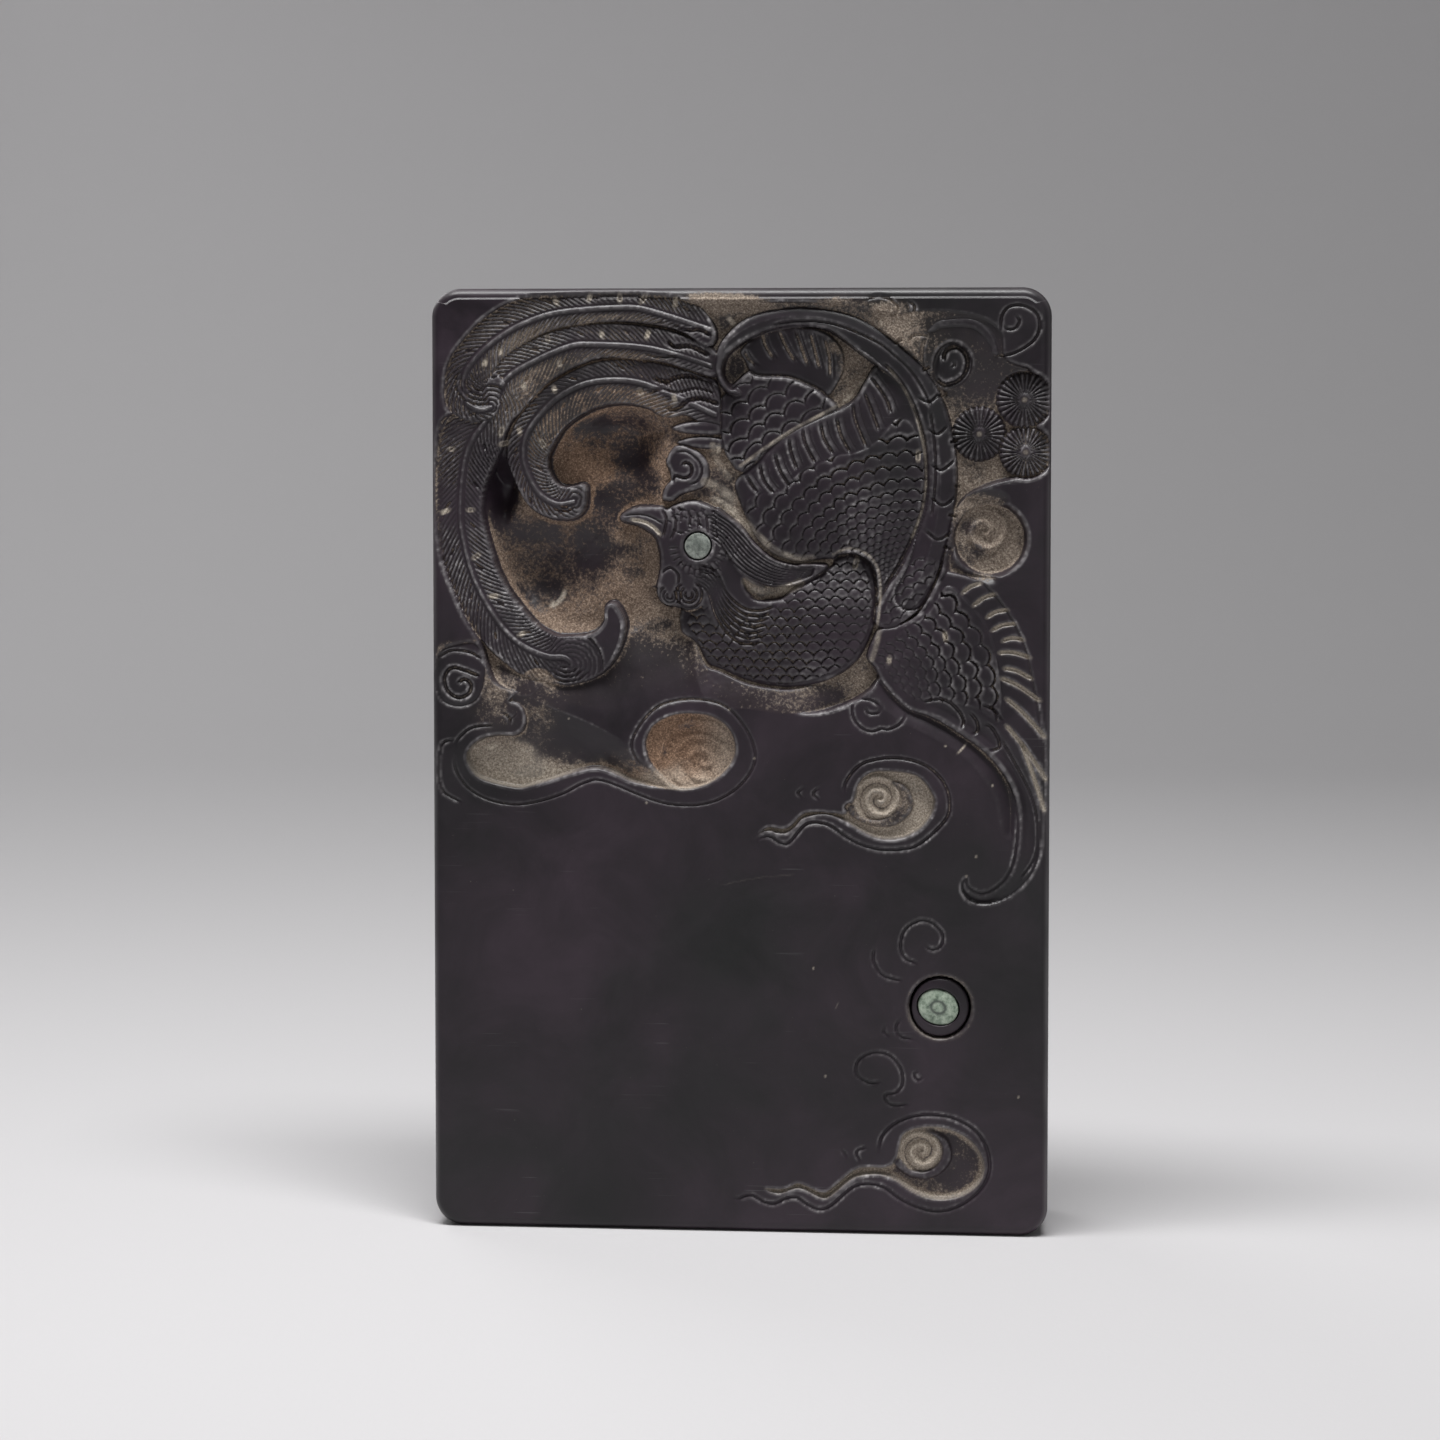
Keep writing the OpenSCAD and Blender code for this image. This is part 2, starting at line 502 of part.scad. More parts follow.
module wings() {
    foot = hook_d + root;
    form(hollow_fan, layer(6), foot);
    form(back_wing, layer(4), foot);
    domed_form(fan, fan_dome, foot);
    form(band, layer(0), foot);
    form(wing_two, layer(0), ground_d + root);
}

module head_and_breast() {
    foot = pool_floor + root;
    form(crest, layer(3.5), foot);
    domed_form(breast, breast_dome, foot);
    form(head, head_top, foot);
    form(plume, layer(0.2), foot);
}

module clouds_and_discs() {
    foot = ground_d + root;
    form(hook_cloud, layer(3), foot);
    for (d = discs)
        intersection() {
            translate([d[0], d[1], -foot]) cylinder(r = d[2], h = foot - layer(d[3]));
            translate([d[0] - 2 * d[2], d[1] - d[2], -foot])
                cube([2 * d[2] + disc_edge - d[0], 2 * d[2], foot]);
        }
}

module fine_cuts() {
    at_carving() {
        barbs(shaft_a, layer(0.6), 2.4, 4, 12);
        barbs(shaft_b, layer(1.5), 2.6, 4, 14);
        barbs(shaft_c, layer(3), 2.2, 8, 8);
        for (row = primaries)
            engraved(row, dome_depth(fan_dome, row[1]));
        for (row = hollow_ribs)
            engraved(row, layer(6));
        for (row = edge_ribs)
            engraved(row, layer(0), line_w, 1.3);
        engraved(crest_curl, layer(3.5));
        engraved(hook_curl, layer(3));
        engraved(left_cloud);
        engraved(left_curl);
        engraved(long_cloud_line);
        engraved(mid_cloud_line);
        engraved(small_cloud_line);
        for (row = scale_rows)
            for (i = [0:row[2] - 1])
                let(at = row[0] + i * row[1]) scale_cut(at, row[3], dome_depth(row[5], at), row[4]);
        for (d = discs)
            disc_cuts([d[0], d[1]], d[2], layer(d[3]));
    }
    engraved(low_cloud_line);
    engraved(upper_bead_line);
    engraved(side_bead_line);
    engraved(lower_bead_line);
}

// Blind socket of radius r from in front of the face to the depth "bottom"
module socket(at, r, bottom) {
    translate([at[0], at[1], -bottom]) cylinder(r = r + glue_gap, h = bottom + over);
}

module stone_body() {
    color([0.17, 0.15, 0.16]) difference() {
        union() {
            difference() {
                slab();
                on_face() sunk_ground();
            }
            on_face() at_carving() {
                feathers();
                wings();
                head_and_breast();
                clouds_and_discs();
            }
        }
        on_face() {
            fine_cuts();
            at_carving() socket(eye_at, eye_r, head_top + eye_t - eye_proud);
            translate([bead_at[0], bead_at[1], -moat_d]) cylinder(r = bead_r + moat_w, h = moat_d + over);
            socket(bead_at, bead_r, bead_top + bead_t);
        }
    }
}

// Round plug with a domed top, its highest point at the depth "top"
module domed_plug(r, length, top) {
    intersection() {
        translate([0, 0, -top - length]) cylinder(r = r, h = length);
        translate([0, 0, -top - dome_r]) sphere(dome_r, $fn = 96);
    }
}

module phoenix_eye() {
    color([0.48, 0.56, 0.47]) on_face() at_carving()
        translate([eye_at[0], eye_at[1], 0]) domed_plug(eye_r, eye_t, head_top - eye_proud);
}

// Outline of the oval inlay, grown by "gap" all round
module oval(gap) {
    points = 48;
    translate([oval_off, 0]) rotate(oval_tilt)
        polygon([for (i = [0:points - 1]) let(a = 360 * i / points)
            [(oval_rx + gap) * cos(a), (oval_ry + gap) * sin(a)]]);
}

module pearl_bead() {
    color([0.2, 0.18, 0.19]) on_face() translate([bead_at[0], bead_at[1], 0]) difference() {
        domed_plug(bead_r, bead_t, bead_top);
        translate([0, 0, -bead_top - oval_t]) linear_extrude(oval_t + over) oval(glue_gap);
    }
}

module pearl_eye() {
    color([0.55, 0.64, 0.55]) on_face() translate([bead_at[0], bead_at[1], 0]) intersection() {
        translate([0, 0, -bead_top - oval_t]) linear_extrude(oval_t + over) oval(0);
        translate([0, 0, -dome_r]) sphere(dome_r, $fn = 96);
    }
}

stone_body();
phoenix_eye();
pearl_bead();
pearl_eye();
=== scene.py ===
import math

import bpy
import numpy as np
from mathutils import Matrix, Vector


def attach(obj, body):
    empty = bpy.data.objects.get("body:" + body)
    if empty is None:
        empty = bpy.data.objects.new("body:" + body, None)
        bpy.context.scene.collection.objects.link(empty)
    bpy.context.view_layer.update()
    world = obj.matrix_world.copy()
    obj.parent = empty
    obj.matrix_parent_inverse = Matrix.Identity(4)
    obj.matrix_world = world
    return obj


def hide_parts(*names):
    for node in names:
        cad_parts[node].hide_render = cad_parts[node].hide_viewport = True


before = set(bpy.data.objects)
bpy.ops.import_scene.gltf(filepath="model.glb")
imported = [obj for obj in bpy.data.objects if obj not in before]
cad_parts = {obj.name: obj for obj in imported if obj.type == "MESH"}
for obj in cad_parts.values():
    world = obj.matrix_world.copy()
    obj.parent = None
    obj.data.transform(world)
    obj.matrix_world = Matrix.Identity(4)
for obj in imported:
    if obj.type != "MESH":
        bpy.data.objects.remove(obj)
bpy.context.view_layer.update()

MM = 0.001

# Slab, in millimetres. x runs to the right of the face, z up from the foot, depth into the stone
HALF_W = 64.0
HEIGHT = 196.0
THICK = 28.0
CORNER_R = 6.0
ARRIS_R = 2.2
FACE_Y = -THICK / 2

# Raster on which the carving is worked out: depth into the stone, and four marks from 0 to 1
CELL = 0.2
CURVE_STEPS = 5
LEAST_REACH = 1.5
xs = np.arange(-65.0, 65.01, CELL)
zs = np.arange(-1.0, 197.01, CELL)
X, Z = np.meshgrid(xs, zs)
depth = np.zeros_like(X)
dust = np.zeros_like(X)
cream = np.zeros_like(X)
wear_and_highlight = np.zeros_like(X)
rust = np.zeros_like(X)


def smooth(t):
    """Soft step from 0 to 1"""
    t = np.clip(t, 0, 1)
    return t * t * (3 - 2 * t)


def between(values, u, v, soft=False):
    """Values at places between the points of a grid"""
    i = u.astype(int)
    j = v.astype(int)
    fu = smooth(u - i) if soft else u - i
    fv = smooth(v - j) if soft else v - j
    low = values[j, i] * (1 - fu) + values[j, i + 1] * fu
    high = values[j + 1, i] * (1 - fu) + values[j + 1, i + 1] * fu
    return low * (1 - fv) + high * fv


def noise(scale, seed):
    """Smooth random values from 0 to 1 on the raster, with lumps of about that size"""
    random = np.random.default_rng(seed)
    u = (X - xs[0]) / scale
    v = (Z - zs[0]) / scale
    values = random.random((int(v.max()) + 3, int(u.max()) + 3))
    return between(values, u, v, soft=True)


def lumps(scale, seed, low, span):
    """Noise that is 0 up to a low value and 1 from a span above it"""
    return smooth((noise(scale, seed) - low) / span)


def sample(field, x, z):
    """Value of a raster field at points"""
    u = np.clip((x - xs[0]) / CELL, 0, len(xs) - 1.001)
    v = np.clip((z - zs[0]) / CELL, 0, len(zs) - 1.001)
    return between(field, u, v)


def blur(field, reach):
    """Box blur, run twice along each axis, over the given number of cells each way"""
    size = 2 * reach + 1
    for _ in range(4):
        total = np.cumsum(np.pad(field, ((reach + 1, reach), (0, 0)), mode="edge"), axis=0)
        field = ((total[size:] - total[:-size]) / size).T
    return field


def curve(points, closed=False):
    """Smooth line through the points"""
    p = np.array(points, float)
    n = len(p)
    found = []
    for i in range(n if closed else n - 1):
        near_by = [(i + k) % n if closed else min(max(i + k, 0), n - 1) for k in (-1, 0, 1, 2)]
        a, b, c, d = p[near_by]
        for t in np.arange(CURVE_STEPS) / CURVE_STEPS:
            found.append(0.5 * (2 * b + (c - a) * t + (2 * a - 5 * b + 4 * c - d) * t * t
                                + (3 * b - a - 3 * c + d) * t ** 3))
    found.append(found[0] if closed else p[-1])
    return np.array(found)


def window(points, reach):
    """Rows and columns of the raster round some points"""
    spans = []
    for axis, places in ((1, zs), (0, xs)):
        low = (points[:, axis].min() - reach - places[0]) / CELL
        high = (points[:, axis].max() + reach - places[0]) / CELL + 2
        spans.append(slice(int(np.clip(low, 0, len(places) - 1)), int(np.clip(high, 1, len(places)))))
    return tuple(spans)


def around(x, z, reach):
    """Window round a spot, with each cell's offsets and distance from it"""
    win = window(np.array([[x, z]]), reach)
    dx, dz = X[win] - x, Z[win] - z
    return win, dx, dz, np.hypot(dx, dz)


def raise_to(field, win, value):
    """Lifts a field to a value where it is lower"""
    field[win] = np.maximum(field[win], value)


def blend(field, win, value, share):
    """Moves a field towards a value by a share"""
    field[win] = field[win] * (1 - share) + value * share


def step_lengths(line):
    """Lengths of the steps of a line"""
    return np.hypot(*np.diff(line, axis=0).T)


def near(line, reach):
    """Window round a line, and each cell's distance from it, way along it and side of it"""
    win = window(line, reach)
    r, c = win[0].start, win[1].start
    x, z = X[win], Z[win]
    best = np.full(x.shape, float(reach))
    along = np.zeros_like(best)
    side = np.ones_like(best)
    start = 0.0
    for a, b in zip(line[:-1], line[1:]):
        d = b - a
        length = math.hypot(d[0], d[1])
        if length < 1e-6:
            continue
        part = window(np.array([a, b]), reach)
        sub = np.s_[part[0].start - r:part[0].stop - r, part[1].start - c:part[1].stop - c]
        dx = x[sub] - a[0]
        dz = z[sub] - a[1]
        t = np.clip((dx * d[0] + dz * d[1]) / length ** 2, 0, 1)
        far = np.hypot(dx - t * d[0], dz - t * d[1])
        closer = far < best[sub]
        best[sub][closer] = far[closer]
        along[sub][closer] = (start + t * length)[closer]
        side[sub][closer] = np.sign(d[0] * dz - d[1] * dx)[closer]
        start += length
    return win, best, along, side


def inside(outline, win):
    """True for the cells of a window that lie in a closed outline"""
    rows = zs[win[0]]
    cols = xs[win[1]]
    turns = np.zeros((len(rows), len(cols) + 1), int)
    for (ax, az), (bx, bz) in zip(outline[:-1], outline[1:]):
        if az == bz:
            continue
        r0, r1 = np.searchsorted(rows, sorted((az, bz)))
        crossing = ax + (rows[r0:r1] - az) * (bx - ax) / (bz - az)
        np.add.at(turns, (np.arange(r0, r1), np.searchsorted(cols, crossing)), 1)
    return np.cumsum(turns[:, :-1], 1) % 2 == 1


def signed(points, reach):
    """Window round a closed outline, and the distance into it, below zero outside"""
    outline = curve(points, closed=True)
    win, far, _, _ = near(outline, reach)
    return win, np.where(inside(outline, win), far, -far)


def sink(points, floor, wall, dusty=0.0):
    """Cuts an outline down to a floor, with its wall just inside the outline"""
    win, into = signed(points, max(wall, LEAST_REACH))
    mix = smooth(into / wall)
    floor = floor(win) if callable(floor) else floor
    raise_to(depth, win, depth[win] * (1 - mix) + floor * mix)
    raise_to(dust, win, dusty * smooth((into - 0.1) / 0.6))
    return win, into


def form(points, top, rim, drop, wall=0.18, reach=3.0):
    """Raises an outline to a top, with a rounded rim that drops towards its edge"""
    win, into = signed(points, reach)
    level = top(win) if callable(top) else top
    t = np.clip(1 - into / rim, 0, 1)
    level = level + drop * (1 - np.sqrt(1 - t * t))
    mix = smooth((into + wall) / (2 * wall))
    blend(depth, win, level, mix)
    dust[win] *= 1 - mix
    return win, into, mix


def groove(points, width, deep, taper=1.5):
    """Cuts a rounded line that thins out at its ends"""
    line = curve(points)
    win, far, along, _ = near(line, width)
    rest = step_lengths(line).sum() - along
    cut = np.clip(1 - (far / (width / 2)) ** 2, 0, 1)
    cut *= smooth(along / taper + 0.15) * smooth(rest / taper + 0.15)
    depth[win] += deep * cut
    return win, cut


def arc(x, z, rx, rz, *degrees):
    """Points on a part of an oval, from start, stop and step in degrees"""
    a = np.radians(np.arange(*degrees))
    return np.stack([x + rx * np.cos(a), z + rz * np.sin(a)], 1)


def spiral(dx, dz, pitch, start=0.0):
    """Share of a turn, from 0 to 1, by which each cell lies beyond the line of a spiral"""
    return np.mod(np.hypot(dx, dz) / pitch - np.arctan2(dz, dx) / (2 * math.pi) + start, 1)


def spot(x, z, rx, rz, soft):
    """Window round a soft oval, and the oval's strength from 0 to 1"""
    win, dx, dz, _ = around(x, z, 1.6 * max(rx, rz))
    r = np.hypot(dx / rx, dz / rz)
    return win, smooth((1 + soft - r) / (2 * soft))


def paint(field, x, z, rx, rz, amount, soft=0.5):
    """Raises a field to an amount in a soft oval"""
    win, strength = spot(x, z, rx, rz, soft)
    raise_to(field, win, amount * strength)


def clear(field, x, z, rx, rz, amount, soft):
    """Wipes an amount of a field away in a soft oval"""
    win, strength = spot(x, z, rx, rz, soft)
    field[win] *= 1 - amount * strength


# Outlines of the carving, in millimetres on the face. First the sunk field, the pool and the wing's hollow
FIELD = [
    (-58.5, 172), (-58, 176), (-56.5, 180), (-54, 183.5), (-46, 190.2), (-40, 191.6), (-24, 192.2),
    (-15, 193.2), (10, 193.4), (22, 192.8), (31, 191), (36, 191.5), (43, 191.5), (50, 190.2), (54, 187),
    (55, 181.5), (60.5, 179), (61.2, 172), (61.2, 162), (59, 157.5), (52, 155.5), (46, 152), (43, 145),
    (42, 138), (38, 130), (33, 124), (30, 117), (26, 112), (18, 108.5), (9, 108), (0, 109), (-10, 108),
    (-24, 108), (-36, 109.5), (-44, 110), (-47, 112), (-51, 114), (-53, 118), (-55.5, 127), (-57.5, 132),
    (-60.5, 142), (-61, 150)
]
POOL = [
    (-57, 162), (-57, 146), (-53, 133), (-46, 124), (-37, 120), (-26, 119), (-17, 121), (-13, 125),
    (-13.5, 132), (-14, 142), (-16, 146.5), (-14.5, 151), (-14.5, 158), (-14, 164), (-14, 168),
    (-20, 173.5), (-29, 174), (-37, 171), (-43, 166), (-47, 162), (-51, 164)
]
HOOK = [
    (-3.8, 178), (-2.8, 183), (1, 186.5), (8, 189.2), (15, 189.4), (21, 187.6), (27, 184), (31.5, 179.5),
    (28, 178), (25, 174), (21, 170.4), (17, 171), (12, 176), (5, 177.5), (-1, 175.4)
]

# Tail feathers and their shafts, from the root to the curl
FEATHER_A = [
    (-4.8, 186.5), (-7, 191.2), (-11, 193.4), (-16, 194.4), (-24, 194.9), (-40, 194.5), (-46, 193.6),
    (-50, 192), (-54, 189), (-58, 184.6), (-60, 181.6), (-61.1, 177.5), (-60.8, 171.5), (-57, 168.8),
    (-54, 168.5), (-51.5, 169.3), (-50, 171), (-49.6, 175), (-48.7, 176.6), (-50.6, 179.2), (-48, 182.5),
    (-40, 187), (-32, 188.7), (-24, 189.1), (-16, 188.2), (-12, 187), (-6.5, 184)
]
FEATHER_B = [
    (-5, 183), (-11, 186), (-18, 188), (-26, 188.8), (-34, 188.4), (-42, 186), (-49, 182), (-54, 177),
    (-58, 171), (-62, 168.5), (-63.3, 160), (-63.6, 152), (-62.4, 142), (-61, 137), (-57.5, 128.5),
    (-54, 123), (-48, 117.5), (-43, 114.8), (-37, 113.9), (-34, 114.1), (-29, 116), (-25.5, 120),
    (-23.8, 126), (-25.2, 130), (-26.8, 131), (-28.2, 129.8), (-28.3, 127), (-31, 124.5), (-37, 124),
    (-40, 124.9), (-43, 127), (-47.5, 132.2), (-50, 136.5), (-51.5, 140.5), (-53.5, 149), (-52.8, 156),
    (-50, 161.5), (-48, 167.5), (-45, 171), (-39, 177), (-32, 180.7), (-28, 181.7), (-24, 181.6),
    (-16, 180.8), (-10, 179), (-5, 178)
]
FEATHER_C = [
    (-4.5, 176), (-8, 178), (-18, 180.9), (-25, 181.4), (-32, 180.2), (-38, 177.2), (-42, 174.2),
    (-46, 169.3), (-48, 165), (-48.5, 161), (-47.5, 157.5), (-44.5, 151.5), (-40, 148.6), (-35, 148.3),
    (-32.3, 150.5), (-32, 154.8), (-33, 155.6), (-34.5, 155.2), (-36.5, 155), (-38.2, 155.8),
    (-39.5, 157.8), (-39.9, 160), (-39.3, 162.5), (-36, 167.5), (-30, 171.2), (-24, 172.2), (-19, 171.3),
    (-17, 170), (-14, 169.3), (-11, 169.8), (-7, 167.5), (-3.5, 166.5)
]
SHAFT_A = [
    (-6, 187.5), (-18, 191.3), (-24, 192.1), (-36, 191.3), (-42, 189.9), (-48, 187.2), (-53, 183.5),
    (-56.5, 179.5), (-57.5, 176), (-56.5, 172.5), (-54, 171), (-51.5, 171.5)
]
SHAFT_B = [
    (-6, 180), (-18, 183.6), (-30, 184.5), (-36, 183.9), (-46, 179.3), (-49.5, 176), (-51, 172),
    (-53, 168.5), (-55.5, 165), (-57.3, 160), (-58.2, 150), (-57.5, 144), (-55.5, 136.5), (-52.5, 130.5),
    (-49, 125.5), (-45, 122), (-40, 119.9), (-36.5, 119.7), (-34.8, 118.2), (-36.4, 117)
]
SHAFT_C = [
    (-5, 170), (-16, 175), (-22, 176.9), (-28, 177.1), (-33, 176.1), (-38, 173.4), (-42, 169.5),
    (-44.5, 165.5), (-45, 161), (-43.7, 157), (-41.5, 153.5), (-38, 151.5), (-34.5, 152)
]

# Bird
CREST = [
    (-16, 152.5), (-15.5, 154.8), (-14.3, 156.4), (-14.5, 158.3), (-15.2, 160.5), (-13, 163.6), (-9, 162.5),
    (-7.2, 160.8), (-6.4, 158.8), (-6.6, 156.8), (-7.8, 155), (-12, 153.6), (-14, 152.2)
]
HEAD = [
    (-25.2, 148.7), (-22, 150.7), (-16.5, 151), (-15.2, 150.4), (-13.5, 151.3), (-9.5, 152.2),
    (-5.5, 150.9), (-2, 148.6), (0, 147.5), (2, 144), (2, 139), (-1, 134), (-4, 131), (-7.8, 130.4),
    (-9, 129.8), (-11, 129.6), (-13, 130.2), (-15.5, 130.5), (-17, 132), (-17.2, 134.5), (-16.5, 138),
    (-16.6, 141.5), (-17.8, 144.8), (-21.5, 147), (-24, 147.6)
]
NECK = [
    (-7, 139), (-3, 141), (1, 141), (3, 138), (4.4, 134), (2, 130), (-3, 127), (-7, 127.4), (-8, 131),
    (-6.4, 135)
]
PLUME = [
    (-5, 150.4), (-2, 148.7), (1, 145.9), (3, 143.4), (7, 140.1), (11.5, 138.9), (13.5, 139.2),
    (18.3, 138.7), (12.5, 135.1), (8, 134.6), (5.5, 134.9), (0.5, 137.2), (-3, 142), (-5, 144)
]
BREAST = [
    (-12.2, 129.8), (-12.6, 126), (-12, 124.5), (-9.3, 122.5), (-7, 118), (-4, 116.8), (2, 114.3),
    (10, 113.2), (16, 114.4), (20, 116), (23, 118), (25.5, 121), (28, 127), (28.3, 131.5), (28.6, 134),
    (27.5, 139), (24, 141.4), (20.5, 141.2), (19.4, 140), (18.5, 138.6), (11.3, 134.3), (8.5, 132),
    (3, 131.8), (0.5, 134), (-3, 136), (-8, 134)
]

# Wings
BAND = [
    (0.2, 174.2), (-1.5, 174.2), (-3, 175), (-4.3, 177), (-5, 180), (-4, 184.5), (0.5, 189.3), (6, 191.4),
    (14, 192.2), (24, 190.2), (33, 184.4), (38.5, 179), (41.8, 173), (43.5, 167.5), (44.7, 159),
    (44.3, 151), (42.7, 142.5), (41.5, 139), (38.5, 131.5), (33.5, 127), (31, 126), (29, 126.2),
    (28, 127.5), (28.3, 130), (31, 135), (33.5, 138.5), (38, 149), (39, 156), (38.5, 163.5), (37.5, 167.5),
    (34, 175), (32, 177.3), (26, 181.8), (20, 186.3), (17, 187.7), (11, 188.2), (4, 186.5), (-2.2, 182.7),
    (-3.7, 178.5), (-2, 175.4), (-0.6, 175.2)
]
FAN = [
    (0.8, 158.2), (4, 160.8), (6, 163), (11, 166.6), (21.5, 171.6), (24, 173.5), (26, 177), (28.5, 180),
    (34, 176.5), (38, 169), (39.6, 160), (39, 149), (35, 139), (30, 131), (25, 134), (20, 140), (13, 139.6),
    (9, 140.3), (6, 141.8), (3, 145), (-0.5, 153), (-1, 156)
]
BACK_WING = [
    (0, 158.3), (-1.5, 159.5), (-3.7, 164), (-4, 172), (-3.4, 174), (-1, 176.5), (2, 179), (4, 178.7),
    (10, 178.2), (13, 177.2), (18, 173.6), (20, 171), (16, 167), (10, 162), (4, 157.5)
]
HOOK_FAN = [
    (0.3, 183.5), (0.9, 181.3), (3, 178), (10, 177.5), (16, 175), (18, 173.6), (20.4, 177), (21.5, 180),
    (20.6, 184), (17, 187), (11, 188.4), (5, 187.5)
]
WING_TWO = [
    (26.5, 120.2), (28, 117.8), (30, 114.3), (34.5, 109.7), (39, 108), (43.1, 105.9), (50.7, 100.5),
    (55.7, 94.1), (57.3, 87.8), (56.8, 79.7), (54.8, 74.7), (50.7, 71.8), (47.6, 72.9), (47.1, 74.7),
    (46, 73.5), (46.3, 71.5), (48, 69.7), (51.6, 69.3), (56.2, 71.1), (60.2, 75.2), (62, 80), (62.4, 84),
    (63, 100), (60.1, 117.5), (58, 124.6), (54.5, 130.8), (50, 135.5), (44, 137.6), (42, 137), (40, 134),
    (38, 130), (33.5, 127), (29.3, 126), (28, 124.5)
]
TAIL_EDGE = WING_TWO[3:14]

# Clouds and their engraved lines
HOOK_CLOUD = [
    (38.6, 187), (40, 188.6), (42, 189.4), (48, 189.5), (51.8, 186.8), (53.2, 182.7), (51.8, 182.6),
    (51.2, 184.4), (48, 187.6), (42, 187.8), (40, 187)
]
CURL_CLOUD = [
    (40, 180), (41, 183), (43.5, 184.6), (46.2, 183.6), (47.6, 181), (47.2, 178.4), (45.4, 176.4),
    (42.6, 175.8), (40.4, 177.4)
]
CORNER_CLOUD = [
    (52.5, 182), (56, 182.4), (60, 184.8), (61.5, 187.6), (61, 190.4), (59, 191.9), (57, 192.3),
    (55, 191.8), (53.8, 190), (53.6, 187)
]
LEFT_CLOUD = [
    (-55, 123.1), (-60.3, 122.4), (-62.6, 121.1), (-63.6, 118.1), (-63.7, 114.5), (-62.6, 111.2),
    (-60, 109.5), (-56.5, 109.7), (-54.2, 111.5), (-53, 115), (-53, 119)
]
LONG_CLOUD = [
    (-45.9, 116), (-46.4, 113), (-48.2, 110.5), (-45.9, 109.5), (-44.8, 107.5), (-45.1, 105),
    (-46.9, 103.7), (-49.9, 103.7), (-53, 103.2), (-55.5, 101.7), (-57, 99.4), (-56.5, 96.9), (-54, 94.1),
    (-46.9, 92.3), (-42.9, 92.8), (-33.3, 95.8), (-29.2, 96.4), (-25.7, 95.3), (-21.7, 93.6), (-13.1, 92.1),
    (-8.5, 92.6), (-4, 94.8), (-1, 98.4), (-0.5, 101.9), (-2, 105.4), (-5, 107.7), (-9, 108.5),
    (-13.6, 108.2), (-17.6, 106.2), (-19.6, 102.9), (-21, 100), (-24, 103), (-36, 113.6), (-41, 117.6)
]
ROUND_HOLLOW = [(-17.5, 96.2), (-13.5, 92.6), *LONG_CLOUD[20:30], (-19.3, 99)]
LONG_LINE = [
    (-59.5, 99.4), (-59, 95.8), (-56.5, 92.3), (-52.5, 90), (-47.4, 89), (-42.4, 89.5), (-36.8, 91.3),
    (-32.3, 93.6), (-28.2, 94.1), (-19.1, 90.6), (-14.1, 89.3), (-8, 89.3), (-3, 91), (1.1, 94.3),
    (3.3, 98.4), (2.8, 102.4), (0.6, 106.4), (-2.5, 109.5), (-6.5, 110.9), (-11.6, 111), (-16.6, 109.7),
    (-20.1, 106.4), (-22.2, 102.4), (-21.7, 99.4), (-19.6, 97.1)
]
MID_CLOUD = [
    (23.6, 91), (24.3, 93.7), (26.3, 96), (29.5, 96.9), (36.7, 96), (40.3, 91.9), (40.6, 89.2),
    (39.4, 86.5), (37.2, 84.2), (34, 82.6), (30.4, 82.2), (26.8, 83.1), (19.1, 87.2), (13.7, 86.6),
    (11.9, 84.8), (9.9, 83.4), (7.8, 83.4), (6, 83.9), (3.7, 83.1), (6, 84.9), (9.9, 84.8), (13.7, 88),
    (19.4, 88), (22, 88)
]
MID_TONGUE = [
    (22, 89), (23.5, 86.8), (27, 85.2), (31, 84.9), (34, 86.2), (36, 89), (35.6, 92), (33.8, 94),
    (31.5, 94.4), (33, 92.3), (33.3, 90), (31.2, 87.4), (28, 86.5), (25, 87.3), (23.4, 89.8)
]
MID_LINE = [
    (21.6, 91.9), (22.3, 94.6), (25, 97.8), (29, 99.1), (33.1, 99.3), (37.2, 98.4), (40.3, 96.6),
    (42.6, 93.7), (43.5, 90.1), (42.6, 86.5), (37.2, 81.5), (33.1, 80.4), (29, 80.4), (25.4, 81.3),
    (22.3, 82.9), (19.1, 85.1), (16.4, 85.8), (13.7, 85.3), (10.5, 81.7), (8.7, 81.5), (6.2, 82.9),
    (3.5, 82.2)
]
LOW_CLOUD = [
    (33.7, 20.6), (36, 22.3), (39.3, 22.9), (43.2, 22.6), (47.1, 20.9), (49.7, 18.4), (51.1, 15.1),
    (50.5, 11.7), (47.7, 8.9), (43.8, 7.5), (39.9, 7.5), (36, 8.9), (32.6, 11.2), (29.8, 12.3),
    (27.1, 12.3), (23.7, 11.4), (19.2, 7.7), (17, 7.3), (12.6, 9.2), (8.1, 8), (5, 9.4), (8.2, 9.2),
    (10.3, 9.6), (12.6, 10.5), (17, 8.8), (19, 9.4), (23.7, 13.4), (27.1, 14.3), (30, 14.2), (32.4, 15.6)
]
LOW_TONGUE = [
    (32.2, 14.6), (35, 12.4), (38.6, 11.6), (42.2, 13), (44.2, 16), (43.6, 19.4), (41.4, 21.4),
    (38.8, 21.8), (41.2, 20), (42.2, 17.4), (41, 14.6), (38.4, 13.2), (35.4, 13.8), (33.4, 16)
]
